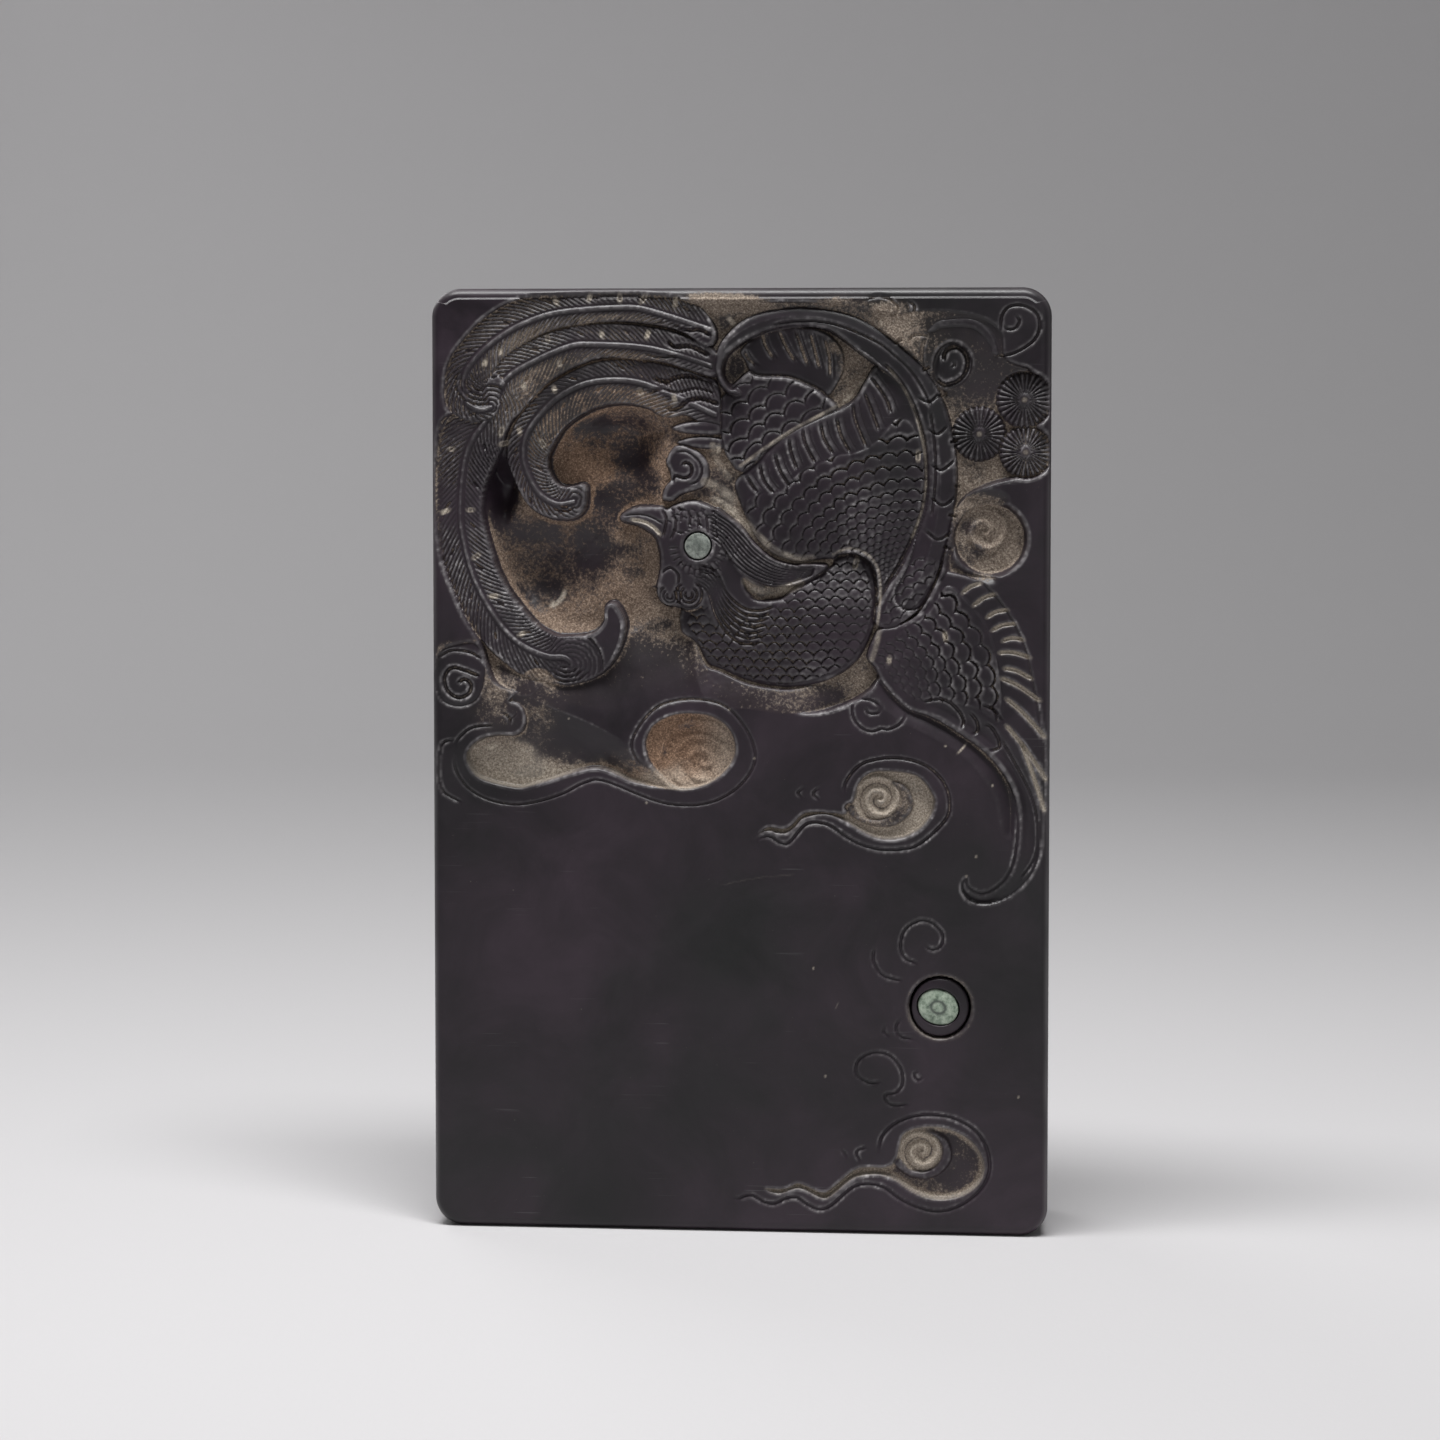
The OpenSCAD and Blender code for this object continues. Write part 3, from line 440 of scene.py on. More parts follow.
LOW_LINE = [
    (29, 17.3), (29.8, 20.6), (32.6, 23.4), (37.1, 25.1), (41.6, 25.2), (45.5, 24.3), (49.4, 21.8),
    (51.6, 17.9), (51.9, 13.4), (49.9, 9.5), (46, 6.4), (41.6, 5.1), (37.1, 5.9), (33.2, 7.8), (30.4, 9.8),
    (27.1, 10.6), (23.7, 9.8), (19.2, 5.9), (16.7, 5.1), (14.2, 6.1), (12, 7.5), (9.8, 7.2), (7.5, 6.1),
    (5.3, 6.4), (2.5, 7.8), (-0.3, 7), (-1.7, 7.8)
]
THIN_LINES = [
    [(29.3, 109.7), (28.1, 110.9), (25.9, 111.5), (23.9, 110.9), (23.4, 109.1), (24.1, 106.8), (25.9, 105.2),
     (27.7, 104.8), (29.5, 105.4), (30.8, 105.2), (33.1, 106.3), (34.5, 108.2)],
    [(29.3, 109.7), (28.6, 108.6), (26.8, 108.6), (26.1, 110)],
    [(37.1, 56.9), (34.6, 57.7), (33.5, 60.2), (34.3, 63.6), (37.1, 65.6), (39.9, 65.3), (42.1, 63),
     (41.8, 60.5), (39.9, 59.7), (38.5, 60.8)],
    [(28.2, 60.2), (27.9, 57.5), (29.3, 54.7), (31.5, 53.6), (34, 53.3)],
    [(30.4, 44.1), (30.1, 42.4), (31.5, 41.6)],
    [(33.7, 45.5), (32.6, 43.5), (33.5, 41.6), (36.5, 41)],
    [(29.8, 32.1), (27.1, 31.8), (24.5, 33.5), (24.8, 36.3), (27.6, 38), (31, 37.7), (33.5, 35.1), (34, 31.8),
     (32.6, 29.8), (30.4, 29.3), (31, 27.6), (32.9, 27.1), (35.4, 27.6)],
    [(37.4, 34.6), (36.4, 33.6), (37.2, 32.5), (38.4, 33.4)],
    [(13.5, 93.2), (12.3, 92), (13.2, 90.8)],
    [(16.8, 93.2), (15.4, 91.8), (16.8, 90.5)],
    [(21.2, 17.9), (22, 16.9), (22.6, 15.9)],
    [(26.8, 18.4), (24.5, 17.3), (25.4, 15.1)],
    [(-57.8, 89.3), (-61.5, 91.3), (-62.8, 94.8), (-62.6, 98.9), (-61.8, 101.7), (-59.5, 102.4)],
    [(-59.3, 101.5), (-58, 103.3), (-55.5, 105), (-51, 105.5)],
    [(-50, 108.5), (-47.8, 107), (-48, 105.2)]
]

# Round things by centre and radius. The discs have their depth too, the bead's eye a second radius and a tilt
DISCS = [(49.3, 166, 5.7, 1.6), (58.8, 162.3, 5.5, 1.2), (58.5, 173, 5.8, 0.8)]
DRUM = (51.5, 144.5, 7.5)
EYE = (-8.6, 142.9, 2.75)
BEAD = (41.7, 47.7, 6.1)
BEAD_EYE = (41.3, 47.7, 4.4, 3.7, -18)

# Depths of the large cuts
GROUND_DEPTH = 3.1
POOL_DEPTH = 6.6
HOOK_DEPTH = 4.6
CLOUD_DEPTH = 1.7
BEAD_HOLE_DEPTH = 6.8
BEAD_FOOT_DEPTH = 6.6
BEAD_SEAT_DEPTH = 2.6


def carve_ground():
    """Sinks the field, the pool, the water slope and the hollow of the hooked wing"""
    rough = noise(2.5, 1) * 0.5 + noise(0.8, 2) * 0.25

    def ground(win):
        """Rough ground that climbs towards the pool's foot, the right and the top"""
        soft = smooth((X[win] + 56) / 8) * smooth((22 - X[win]) / 12)
        climb = smooth((Z[win] - 108) / 14)
        right = smooth((X[win] - 18) / 14) * smooth((Z[win] - 168) / 17)
        top = smooth((X[win] + 14) / 8) * smooth((Z[win] - 187.5) / 5)
        floor = (GROUND_DEPTH + 0.5 * rough[win]) * (1 - soft * (1 - climb))
        return floor * (1 - 0.85 * right) * (1 - 0.75 * top)

    sink(FIELD, ground, 0.8, 0.85)

    def pool(win):
        """Floor with two bowls and a pit beside the feather"""
        x, z = X[win], Z[win]
        lower = np.hypot((x + 39) / 14, (z - 139.5) / 12)
        upper = np.hypot((x + 24) / 11, (z - 164.5) / 10)
        pit = np.hypot((x + 50) / 3.6, (z - 157) / 9)
        floor = POOL_DEPTH + 0.4 * rough[win] + 3 * smooth(1.1 - lower) + 2.8 * smooth(1.1 - upper)
        return floor + 3.5 * smooth((1.2 - pit) / 0.8)

    sink(POOL, pool, 8.0, 1.0)
    across = smooth((X + 50) / 16) * smooth((-4 - X) / 8)
    depth[:] = np.maximum(depth, POOL_DEPTH * across * smooth((Z - 102) / 30) * (Z < 134))
    sink(HOOK, HOOK_DEPTH, 0.8, 1.0)
    clear(dust, -38, 140, 12, 9.5, 0.58, 0.8)
    clear(dust, -22.5, 165.5, 8.5, 7.5, 0.5, 0.8)
    # Bare dark stone in the pit beside the feather: painted shade
    clear(dust, -51, 157, 4.5, 10, 0.97, 0.6)
    clear(dust, -27, 151, 7, 4, 0.45, 0.8)
    paint(rust, -28, 160, 18, 18, 0.75, 0.8)
    paint(rust, -36, 138, 20, 18, 0.5, 0.8)
    clear(dust, -18, 109, 28, 11, 1.0, 0.9)
    paint(dust, -50.5, 114.5, 5.5, 8, 0.62, 0.9)
    clear(dust, 50, 183, 13, 12, 0.75, 0.5)
    paint(dust, -4, 192.6, 9, 2.4, 1.3)
    paint(dust, 22, 191.5, 12, 2.4, 1.0)


BARB_PITCH = 1.2
BARB_SLOPE = 1.2


def feather(outline, shaft, top, reach):
    """Tail feather with a raised shaft, hollows beside it and slanting barbs"""
    form(outline, top, 0.5, 0.3, reach=4)
    line = curve(shaft)
    win, far, along, side = near(line, reach)
    on = inside(curve(outline, closed=True), win) & (far < reach)
    fade = smooth((step_lengths(line).sum() - along) / 12 + 0.25)
    shaft_half = 0.24 + 0.12 * fade
    ridge = np.sqrt(np.clip(1 - (far / shaft_half) ** 2, 0, 1))
    valley = np.exp(-((far - shaft_half - 0.25) / 0.25) ** 2)
    uneven = 0.5 * noise(6, 41)[win]
    phase = (along - BARB_SLOPE * far) / BARB_PITCH + 0.37 * (side > 0) + uneven
    wave = np.abs(np.sin(np.pi * phase))
    strong = 0.45 + 0.55 * lumps(8, 42, 0.3, 0.35)[win]
    barb = strong * (1 - wave ** 0.8) * smooth((far - shaft_half - 0.3) / 0.6) * smooth(along / 3)
    change = -0.2 * ridge + 0.16 * valley + 0.6 * barb + 0.06 * far
    depth[win] += np.where(on, change, 0)
    lower = (side > 0) * smooth((far - 0.8) / 1.2) * smooth((60 - along) / 20) * smooth((along - 4) / 8)
    dusty = (0.26 * smooth((90 - along) / 50) + 0.62 * lower) * (0.4 + 1.3 * barb)
    raise_to(cream, win, on * 0.3 * lower * barb)
    raise_to(dust, win, on * dusty)


def carve_feathers():
    """Three tail feathers that curl over the pool, with their root tongues"""
    feather(FEATHER_C, SHAFT_C, 1.7, 5.5)
    feather(FEATHER_B, SHAFT_B, 1.05, 6.5)
    feather(FEATHER_A, SHAFT_A, 0.6, 5.0)
    for x, z, start, radii in (
        (-53.5, 176.5, 150, (2, 3.2, 4.4, 5.6)),
        (-36, 118.6, 200, (1.4, 2.6, 3.8, 5)),
        (-36.5, 151.8, 200, (1.3, 2.3))
    ):
        for r in radii:
            groove(arc(x, z, r, 0.8 * r, start, start + 141, 20), 0.7, 0.4)
    for line, width, deep in (
        ([(-18, 178), (-17, 177.2), (-15, 176.8), (-13.5, 177.5), (-11, 178), (-8, 177.6), (-5, 176.6)],
         1.3, 0.9),
        ([(-15.5, 172), (-14, 171), (-12.5, 171.5), (-11, 172.7), (-8, 173.3), (-4, 172)], 1.3, 0.9),
        ([(-19, 174.4), (-16.6, 175.2), (-13, 174.6), (-9, 175.4), (-5, 174.4)], 0.9, 0.5),
        ([(-15, 185.5), (-13.5, 184), (-10, 184), (-6, 182)], 1.3, 0.9),
        ([(-14, 188.6), (-11, 187.4), (-8, 187.4), (-5.6, 186)], 1.1, 0.7),
        ([(-20, 182.8), (-17, 181.8), (-13, 182), (-9, 180.8), (-5.4, 179.4)], 0.8, 0.4)
    ):
        groove(line, width, deep)
    upper = [(-14, 167.2), (-11, 168.4), (-7, 168.6), (-4, 167.8), (-4, 166), (-8, 165.8), (-11.5, 166.2)]
    lower = [(-13, 164.2), (-10, 165.4), (-6, 165.5), (-3.5, 164.8), (-3.5, 163), (-7, 162.9), (-10.5, 163.3)]
    form(upper, 1.8, 1.0, 0.6, wall=0.4)
    form(lower, 2.1, 1.0, 0.6, wall=0.4)
    seed_marks()


def seed_marks():
    """Slanting almond cuts in a row on each side of the three shafts"""
    random = np.random.default_rng(9)
    for shaft, first, aside in ((SHAFT_A, 6, 2.2), (SHAFT_B, 9, 2.4), (SHAFT_C, 12, 2.2)):
        line = curve(shaft)
        travel = np.concatenate([[0], np.cumsum(step_lengths(line))])
        for k, way in enumerate(np.arange(first, travel[-1] - 8, 4.6)):
            at = np.array([np.interp(way, travel, line[:, i]) for i in (0, 1)])
            ahead = np.array([np.interp(way + 1, travel, line[:, i]) for i in (0, 1)]) - at
            cross = np.array([-ahead[1], ahead[0]]) * (1 if k % 2 else -1)
            at = at + cross * (aside + random.uniform(-0.6, 0.5))
            slant = ahead * 0.75 + cross * 0.5
            groove([at - slant, at, at + slant], 0.75, 0.45, taper=0.5)


def scale_edges(out, across, width, row, radius):
    """Share of its radius at which each point lies in its own scale, where each row covers the next"""
    found = np.full(out.shape, -1.0)
    first = np.floor(out / row)
    for back in (1, 0, -1, -2):
        k = first + back
        u = (np.mod(across / width + np.mod(k, 2) * 0.5, 1) - 0.5) * width
        v = out - k * row
        away = np.hypot(u, v * 0.9)
        hit = (away < radius) & (v > -0.4 * radius)
        found = np.where(hit, away / radius, found)
    return np.where(found < 0, 1.0, found)


# Drift of the scale rows out and across, and strength of the scales from place to place
SHIFT_A = 1.2 * (noise(5, 61) - 0.5)
SHIFT_B = 1.2 * (noise(6, 62) - 0.5)
FADE = lumps(9, 63, 0.2, 0.5)


def scales(region, turn, width, row, origin, deep, radius, fan=0.0):
    """Overlapping scales in a closed outline, whose free edges look towards "turn" degrees.
    With a fan radius they spread from the origin and are that wide there, and smaller inside it."""
    win, into = signed(region, LEAST_REACH)
    dx, dz = X[win] - origin[0], Z[win] - origin[1]
    size = 1.0
    if fan:
        r = np.maximum(np.hypot(dx, dz), 1.0)
        size = r / fan
        out = fan * np.log(size)
        across = fan * (np.arctan2(dz, dx) - math.radians(turn))
    else:
        c, s = math.cos(math.radians(turn)), math.sin(math.radians(turn))
        out = dx * c + dz * s
        across = -dx * s + dz * c
    edge = scale_edges(out + SHIFT_A[win], across + SHIFT_B[win], width, row, radius)
    lift = smooth((edge - 0.8) / 0.2)
    deep = deep * np.minimum(size, 1.2) ** 0.7 * (0.45 + 0.55 * FADE[win])
    depth[win] += smooth(into / 0.6) * deep * (lift - 0.5 * (1 - edge ** 2))


def carve_wings():
    """Back wing, hook with its ribbed fan, front wing with its feathers and leading band"""
    form(BACK_WING, lambda win: 2.0 + 0.02 * (Z[win] - 165), 1.2, 0.6)
    scales(BACK_WING, 122, 4.6, 3.0, (2, 160), 0.5, 2.9)
    form(HOOK_FAN, lambda win: 3.3 - 0.06 * (Z[win] - 180), 1.5, 0.6)
    for line in (
        [(0.6, 183.4), (1.6, 181.6), (3.2, 180)], [(4.6, 187), (5.2, 184.4), (7, 181.3)],
        [(8, 187.4), (9.5, 184), (11.4, 180.8)], [(11.4, 187.6), (12.6, 184), (14, 180)],
        [(14.4, 187), (15.4, 183.4), (16.4, 179.4)], [(17.4, 186), (18.4, 182), (18.6, 177.6)]
    ):
        win, cut = groove(line, 0.9, 0.55)
        raise_to(dust, win, 0.8 * cut)
        groove([(x + 0.8, z) for x, z in line], 0.7, 0.3)
    paint(dust, 24, 179, 3.4, 7.5, 1.0)
    paint(dust, 21, 184.6, 3.6, 2.4, 0.9)

    def dome(win):
        """Wing that falls away from its middle"""
        r = np.hypot(X[win] - 27, Z[win] - 156)
        return 1.0 + 0.0016 * r ** 2

    form(FAN, dome, 2.0, 0.9)
    rows = [
        [(1.3, 157.5), (2.5, 155.5), (3.8, 153.8)], [(4.2, 159.8), (5, 156.5), (7.3, 153.6)],
        [(7.3, 162), (8.3, 158.6), (10.5, 155)], [(10.2, 165), (10.7, 162), (12, 158.5)],
        [(13, 167), (13.6, 164), (15.8, 159.8)], [(16.7, 168.3), (17.5, 165), (19.5, 161.7)],
        [(20, 169.4), (21, 165.5), (23, 162)], [(23.3, 172.4), (24, 168.5), (26.2, 163.2)],
        [(25.7, 174.6), (27.5, 170), (28.8, 166.5)], [(26.8, 178), (30, 173.5), (31.3, 170)]
    ]
    for line in rows:
        groove(line, 0.9, 0.65)
        groove([(x + 1.3, z + 0.5) for x, z in line], 0.45, 0.2)
    coverts = [(1, 152), (4, 154), (8, 154.4), (12, 158), (16, 160), (20, 161.8), (24, 162.4), (28, 164.6),
               (32, 169), (36, 168), (38.4, 160), (38, 150), (34, 140), (30, 133), (26, 134), (20, 140.6),
               (13, 140.2), (6, 142.4), (2, 147.4)]
    scales(coverts, 140, 4.1, 3.3, (35, 130), 0.75, 2.7, fan=36.0)
    leading_band()


def leading_band():
    """Hooked leading edge of the wing, with a bevel, a ridge and long overlapping feathers"""
    form(BAND, 0.35, 1.3, 0.7)
    ridge = [(-1.2, 174.8), (-3.6, 176.6), (-4.2, 180), (-3, 184), (0.6, 187.2), (6, 189.4), (11, 190.1),
             (16, 189.9), (20, 189), (24, 187.4), (28, 185.4), (31, 183), (34, 180.2), (36.6, 176.5),
             (38.6, 172.4), (40.2, 167), (41.2, 161), (41.4, 155), (40.8, 149), (39.6, 143.4), (38, 138),
             (35.4, 133)]
    line = curve(ridge)
    win, far, along, side = near(line, 3.5)
    on = inside(curve(BAND, closed=True), win)
    bevel = np.where(side > 0, 0.28, 0.14) * far
    depth[win] += np.where(on & (far < 3.4), bevel, 0) * smooth(along / 8)
    groove([(x + 0.9, z - 0.9) for x, z in ridge[5:15]], 0.7, 0.5)
    groove([(29.6, 180.6), (33, 177), (35.6, 172.6), (37.4, 167.4), (38.3, 161), (38.3, 154.6), (37.2, 149),
            (35, 143.4), (32.4, 138.4), (30, 134.6)], 0.8, 0.6)
    groove([(39.2, 171), (40, 166), (40.4, 160), (40.2, 154), (39.6, 149)], 0.7, 0.45)
    for a, b, c in (
        ((44.6, 161), (41.6, 158.6), (39.4, 160)), ((44.8, 153.5), (42, 151.4), (39.2, 153.2)),
        ((44, 146), (41, 144.4), (38.2, 146.4)), ((43, 168), (40.8, 166), (38.6, 167.4)),
        ((41.4, 174.6), (39, 172.6), (36.6, 173.8))
    ):
        groove([a, b, c], 0.8, 0.55)
    for a, b in (
        ((32, 184.6), (33.4, 185.4)), ((40.8, 173.6), (42.6, 174.2)), ((43.3, 164.3), (45, 164.6)),
        ((44.2, 155.3), (45.4, 155.2)), ((43, 149.5), (44.8, 149)), ((42, 143), (43.6, 142.4)),
        ((37.6, 179), (39.2, 179.8))
    ):
        groove([a, b], 0.8, 0.7, taper=0.3)
    shoulder = [(29, 127.5), (32, 127), (36, 130), (39, 134), (41, 139.5), (38.6, 141), (35.6, 140),
                (31.5, 134)]
    scales(shoulder, 118, 2.6, 2.0, (34, 132), 0.42, 1.7)


def carve_wing_two():
    """Lower wing: scallop rows, fine scales and the long tail with its bright crest"""
    shade = [(26, 118), (28.5, 112.5), (33, 108), (39, 105), (45, 101.5), (50, 97), (53.6, 91), (55, 84),
             (57, 84), (58, 92), (56, 99), (50, 106), (44, 110), (36, 114)]
    win, into = signed(shade, 6)
    raise_to(depth, win, 1.7 * smooth((into + 1) / 4.5))
    form(WING_TWO, 0.3, 0.9, 0.5)
    win, far, along, _ = near(curve(TAIL_EDGE), 6)
    on = inside(curve(WING_TWO, closed=True), win)
    crest = np.exp(-((far - 0.7) / 0.5) ** 2)
    hollow = smooth((far - 0.9) / 1.6) * smooth((5.8 - far) / 3)
    keep = smooth(along / 10)
    depth[win] += np.where(on, keep * (0.55 * hollow - 0.15 * crest), 0)
    groove([(53.9, 103.6), (59.8, 92.8), (61.6, 85.5), (61.1, 79.2), (58, 74.4)], 0.7, 0.35)
    ribs = [
        ((48.2, 130.8), (52.3, 133)), ((51, 128.4), (54.9, 129.8)), ((52, 125.7), (56.4, 127)),
        ((54.2, 123.6), (58.2, 123.8)), ((53.5, 121.2), (59.3, 120.3)), ((54.5, 118), (59.7, 116)),
        ((53.9, 116), (61.1, 111.8)), ((55, 111.8), (62.3, 104.5)), ((55, 106.3), (62.7, 95.9)),
        ((58, 103), (62.5, 90)), ((46, 133.4), (49.4, 135.2))
    ]
    for (ax, az), (bx, bz) in ribs:
        bend = ((ax + bx) / 2, (az + bz) / 2 + 0.5)
        end = (bx + 0.12 * (bx - ax), bz + 0.12 * (bz - az))
        win, cut = groove([(ax, az), bend, end], 1.0, 0.6, taper=0.9)
        raise_to(cream, win, 0.75 * cut ** 0.6)
    for bow in (
        [(38, 111), (42, 111.5), (45, 109.5), (46.3, 107), (45.8, 105.5)],
        [(47.5, 109), (49, 107), (49.2, 105), (48, 104.3)],
        [(50.5, 106.5), (52, 105.8), (53.5, 103.3), (53.5, 101.5), (51.5, 101)],
        [(50, 110.5), (52.5, 109.5), (54.3, 107)]
    ):
        groove(bow, 0.8, 0.5)
    fan = [(28, 121), (31, 115.6), (36, 111.4), (44, 110.4), (50, 109), (53.6, 106.6), (54.4, 112),
           (53.4, 120), (51, 127), (46.6, 132.6), (42.6, 135), (38.6, 129.4), (33, 125.4)]
    scales(fan, 20, 4.6, 3.6, (22, 110), 0.75, 3.0, fan=32.0)


def carve_bird():
    """Crest, breast, head and neck plume"""
    form(CREST, 1.7, 1.0, 0.5)
    groove([(-13.8, 155.6), (-13.5, 157.3), (-11.5, 156.9), (-10.2, 157.5), (-9.9, 158.8), (-10.4, 159.8),
            (-11.4, 160), (-12, 159.2)], 0.9, 0.7)
    groove([(-13.2, 162.2), (-11, 162.3), (-8.6, 160.6), (-7.8, 158.4), (-8.6, 156.4), (-10.6, 155.4)],
           0.7, 0.4)

    def breast(win):
        """Round breast"""
        r = np.hypot(X[win] - 12, (Z[win] - 126) * 1.15)
        return 0.45 + 0.0065 * r ** 2

    form(BREAST, breast, 1.6, 0.9)
    low = [(-11, 128), (-9, 123), (-6, 119), (0, 116), (8, 114.2), (16, 115.4), (23, 119), (27, 126),
           (27.4, 134), (25, 140), (21, 140.6), (17, 137), (10, 133), (6, 129.6), (0, 130), (-4, 134)]
    scales(low, 90, 2.7, 1.8, (10, 120), 0.55, 1.6)

    def crown(win):
        """Round head that falls away to the beak"""
        r = np.hypot(X[win] + 9, Z[win] - 142)
        return 0.6 + 0.008 * r ** 2 + 0.5 * smooth((-17 - X[win]) / 5)

    form(HEAD, crown, 1.4, 0.7)
    form(NECK, lambda win: 1.2 + 0.02 * (138 - Z[win]), 1.0, 0.0, wall=2.6)
    hollow = [(0.5, 136.6), (3, 135.4), (5.5, 134.5), (8, 134.2), (10.5, 134.4), (12.5, 134.9), (11, 133.6),
              (8, 131.9), (5, 131.3), (3, 131.7), (1, 133.6)]
    sink(hollow, 2.6, 0.9, 1.6)
    form(PLUME, lambda win: 0.35 + 0.02 * (X[win] + 5), 0.8, 0.4)
    for width, deep, shares, top, low in (
        (0.62, 0.55, [(k + 0.5) / 8 for k in range(8)],
         [(-6, 150.6), (-2, 148.2), (1, 145.4), (3.4, 142.6), (7, 139.9), (11.5, 138.6), (16, 138.7)],
         [(-6.4, 144.6), (-4, 143), (-1.6, 139.6), (1.6, 136.8), (6, 135), (10.5, 135), (15.6, 137)]),
        (0.75, 0.65, [k / 6 for k in range(7)],
         [(-8.6, 139), (-5, 137.6), (-2.6, 133), (1, 130), (4.6, 129.6), (7.4, 130.6)],
         [(-9.4, 135.6), (-6.6, 133.4), (-5, 128.6), (-2.4, 124.6), (1, 122.6), (4.4, 123.2)])
    ):
        for t in shares:
            groove(np.array(top) * (1 - t) + np.array(low) * t, width, deep)
    head_details()


def head_details():
    """Beak, mouth, cere folds, cheek feathers, wattles and the seat of the eye"""
    win, cut = groove([(-22.6, 148.3), (-20, 147.8), (-18, 146.8), (-16.4, 145.2)], 0.9, 0.4, taper=0.8)
    raise_to(cream, win, cut ** 0.5)
    groove([(-24.6, 148.9), (-21, 149.3), (-18, 148.6), (-15.6, 147.2)], 0.6, 0.35)
    groove([(-16.2, 150.6), (-15.2, 148.6), (-15.4, 146.4), (-16, 144.4)], 0.8, 0.6)
    groove([(-14.2, 150.2), (-13.2, 148.2), (-13.4, 146), (-14.4, 144)], 0.7, 0.5)
    for k in range(5):
        tuft = [(-12.6 + 1.9 * k, 151 - 0.5 * k), (-12 + 1.8 * k, 149.3 - 0.7 * k),
                (-12.2 + 1.9 * k, 147.6 - 0.8 * k)]
        groove(tuft, 0.6, 0.35, taper=0.5)
    random = np.random.default_rng(12)
    for _ in range(46):
        x, z = random.uniform(-15, -4.6), random.uniform(144.6, 151)
        if math.hypot(x - EYE[0], z - EYE[1]) > 3.6:
            groove([(x, z), (x + 0.5, z - 0.15), (x + 1.0, z - 0.5)], 0.5, 0.22, taper=0.3)
    for turn in np.radians(np.arange(185, 345, 13)):
        way = np.array([math.cos(turn), math.sin(turn)])
        groove([way * r + EYE[:2] for r in (3.9, 5.0, 6.2)], 0.55, 0.3, taper=0.8)
    groove([(-16.4, 137), (-14.4, 138.4), (-12.6, 136.8), (-12.8, 134.6)], 0.7, 0.5)
    for x, z, r in ((-10.5, 132.8, 2.7), (-14.5, 132.5, 2.2)):
        for share in (1.0, 0.62, 0.3):
            groove(arc(x, z, share * r, share * r, 120, 421, 30), 0.75, 0.6, taper=0.8)
    cheek = [(-13, 140.5), (-8.6, 139.2), (-4.6, 140), (-3.4, 137), (-6.5, 135.2), (-11, 136.6)]
    scales(cheek, 250, 1.9, 1.5, (-9, 138), 0.3, 1.2)
    nape = [(-4.6, 146), (-1, 145), (1, 141), (-2, 139.6), (-4.4, 142)]
    scales(nape, 330, 1.9, 1.5, (-2, 142), 0.3, 1.2)
    x, z, r = EYE
    win, _, _, away = around(x, z, r + 3)
    depth[win] -= 0.22 * np.exp(-((away - r - 0.75) / 0.4) ** 2)
    seat = 0.85 + 2.4 * smooth((r + 0.25 - away) / 0.3)
    raise_to(depth, win, np.where(away < r + 0.25, seat, depth[win]))


def carve_discs():
    """Ribbed pine discs and the dusty spiral hollow at the right"""
    for x, z, r, top in DISCS:
        win, dx, dz, away = around(x, z, r + 1)
        on = smooth((r - away) / 0.4 + 0.5)
        ribs = np.abs(np.sin(np.arctan2(dz, dx) * 14))
        level = top + 0.02 * away ** 2 + 0.8 * (1 - ribs) * smooth((away - 0.9) / 0.8)
        blend(depth, win, level + 0.6 * smooth((away - r + 0.7) / 0.7), on)
        dust[win] *= 1 - on * (away < r)
        paint(cream, x, z, 0.5, 0.5, 0.3)
    x, z, r = DRUM
    win, _, _, away = around(x, z, r + 3)
    on = smooth((r + 0.8 - away) / 1.6)
    dx, dz = X[win] - 50.5, Z[win] - 146
    out = np.hypot(dx, dz)
    bank = smooth(1 - np.abs(spiral(dx, dz, 3.4, 0.2) - 0.5) / 0.42) * smooth((5.8 - out) / 2.5)
    blend(depth, win, 2.6 - 0.9 * bank * smooth(out) * smooth((r - away) / 1.5), on)
    raise_to(dust, win, on)
    ground = [(43.5, 152), (48, 153.4), (54, 151.6), (44, 141.6), (46, 138), (52, 136.6), (46, 136.8),
              (43, 139), (44.2, 146)]
    win, into = signed(ground, 4)
    raise_to(depth, win, 1.6 * smooth((into + 2) / 3))
    raise_to(dust, win, 0.75 * smooth((into + 1.6) / 2.2))


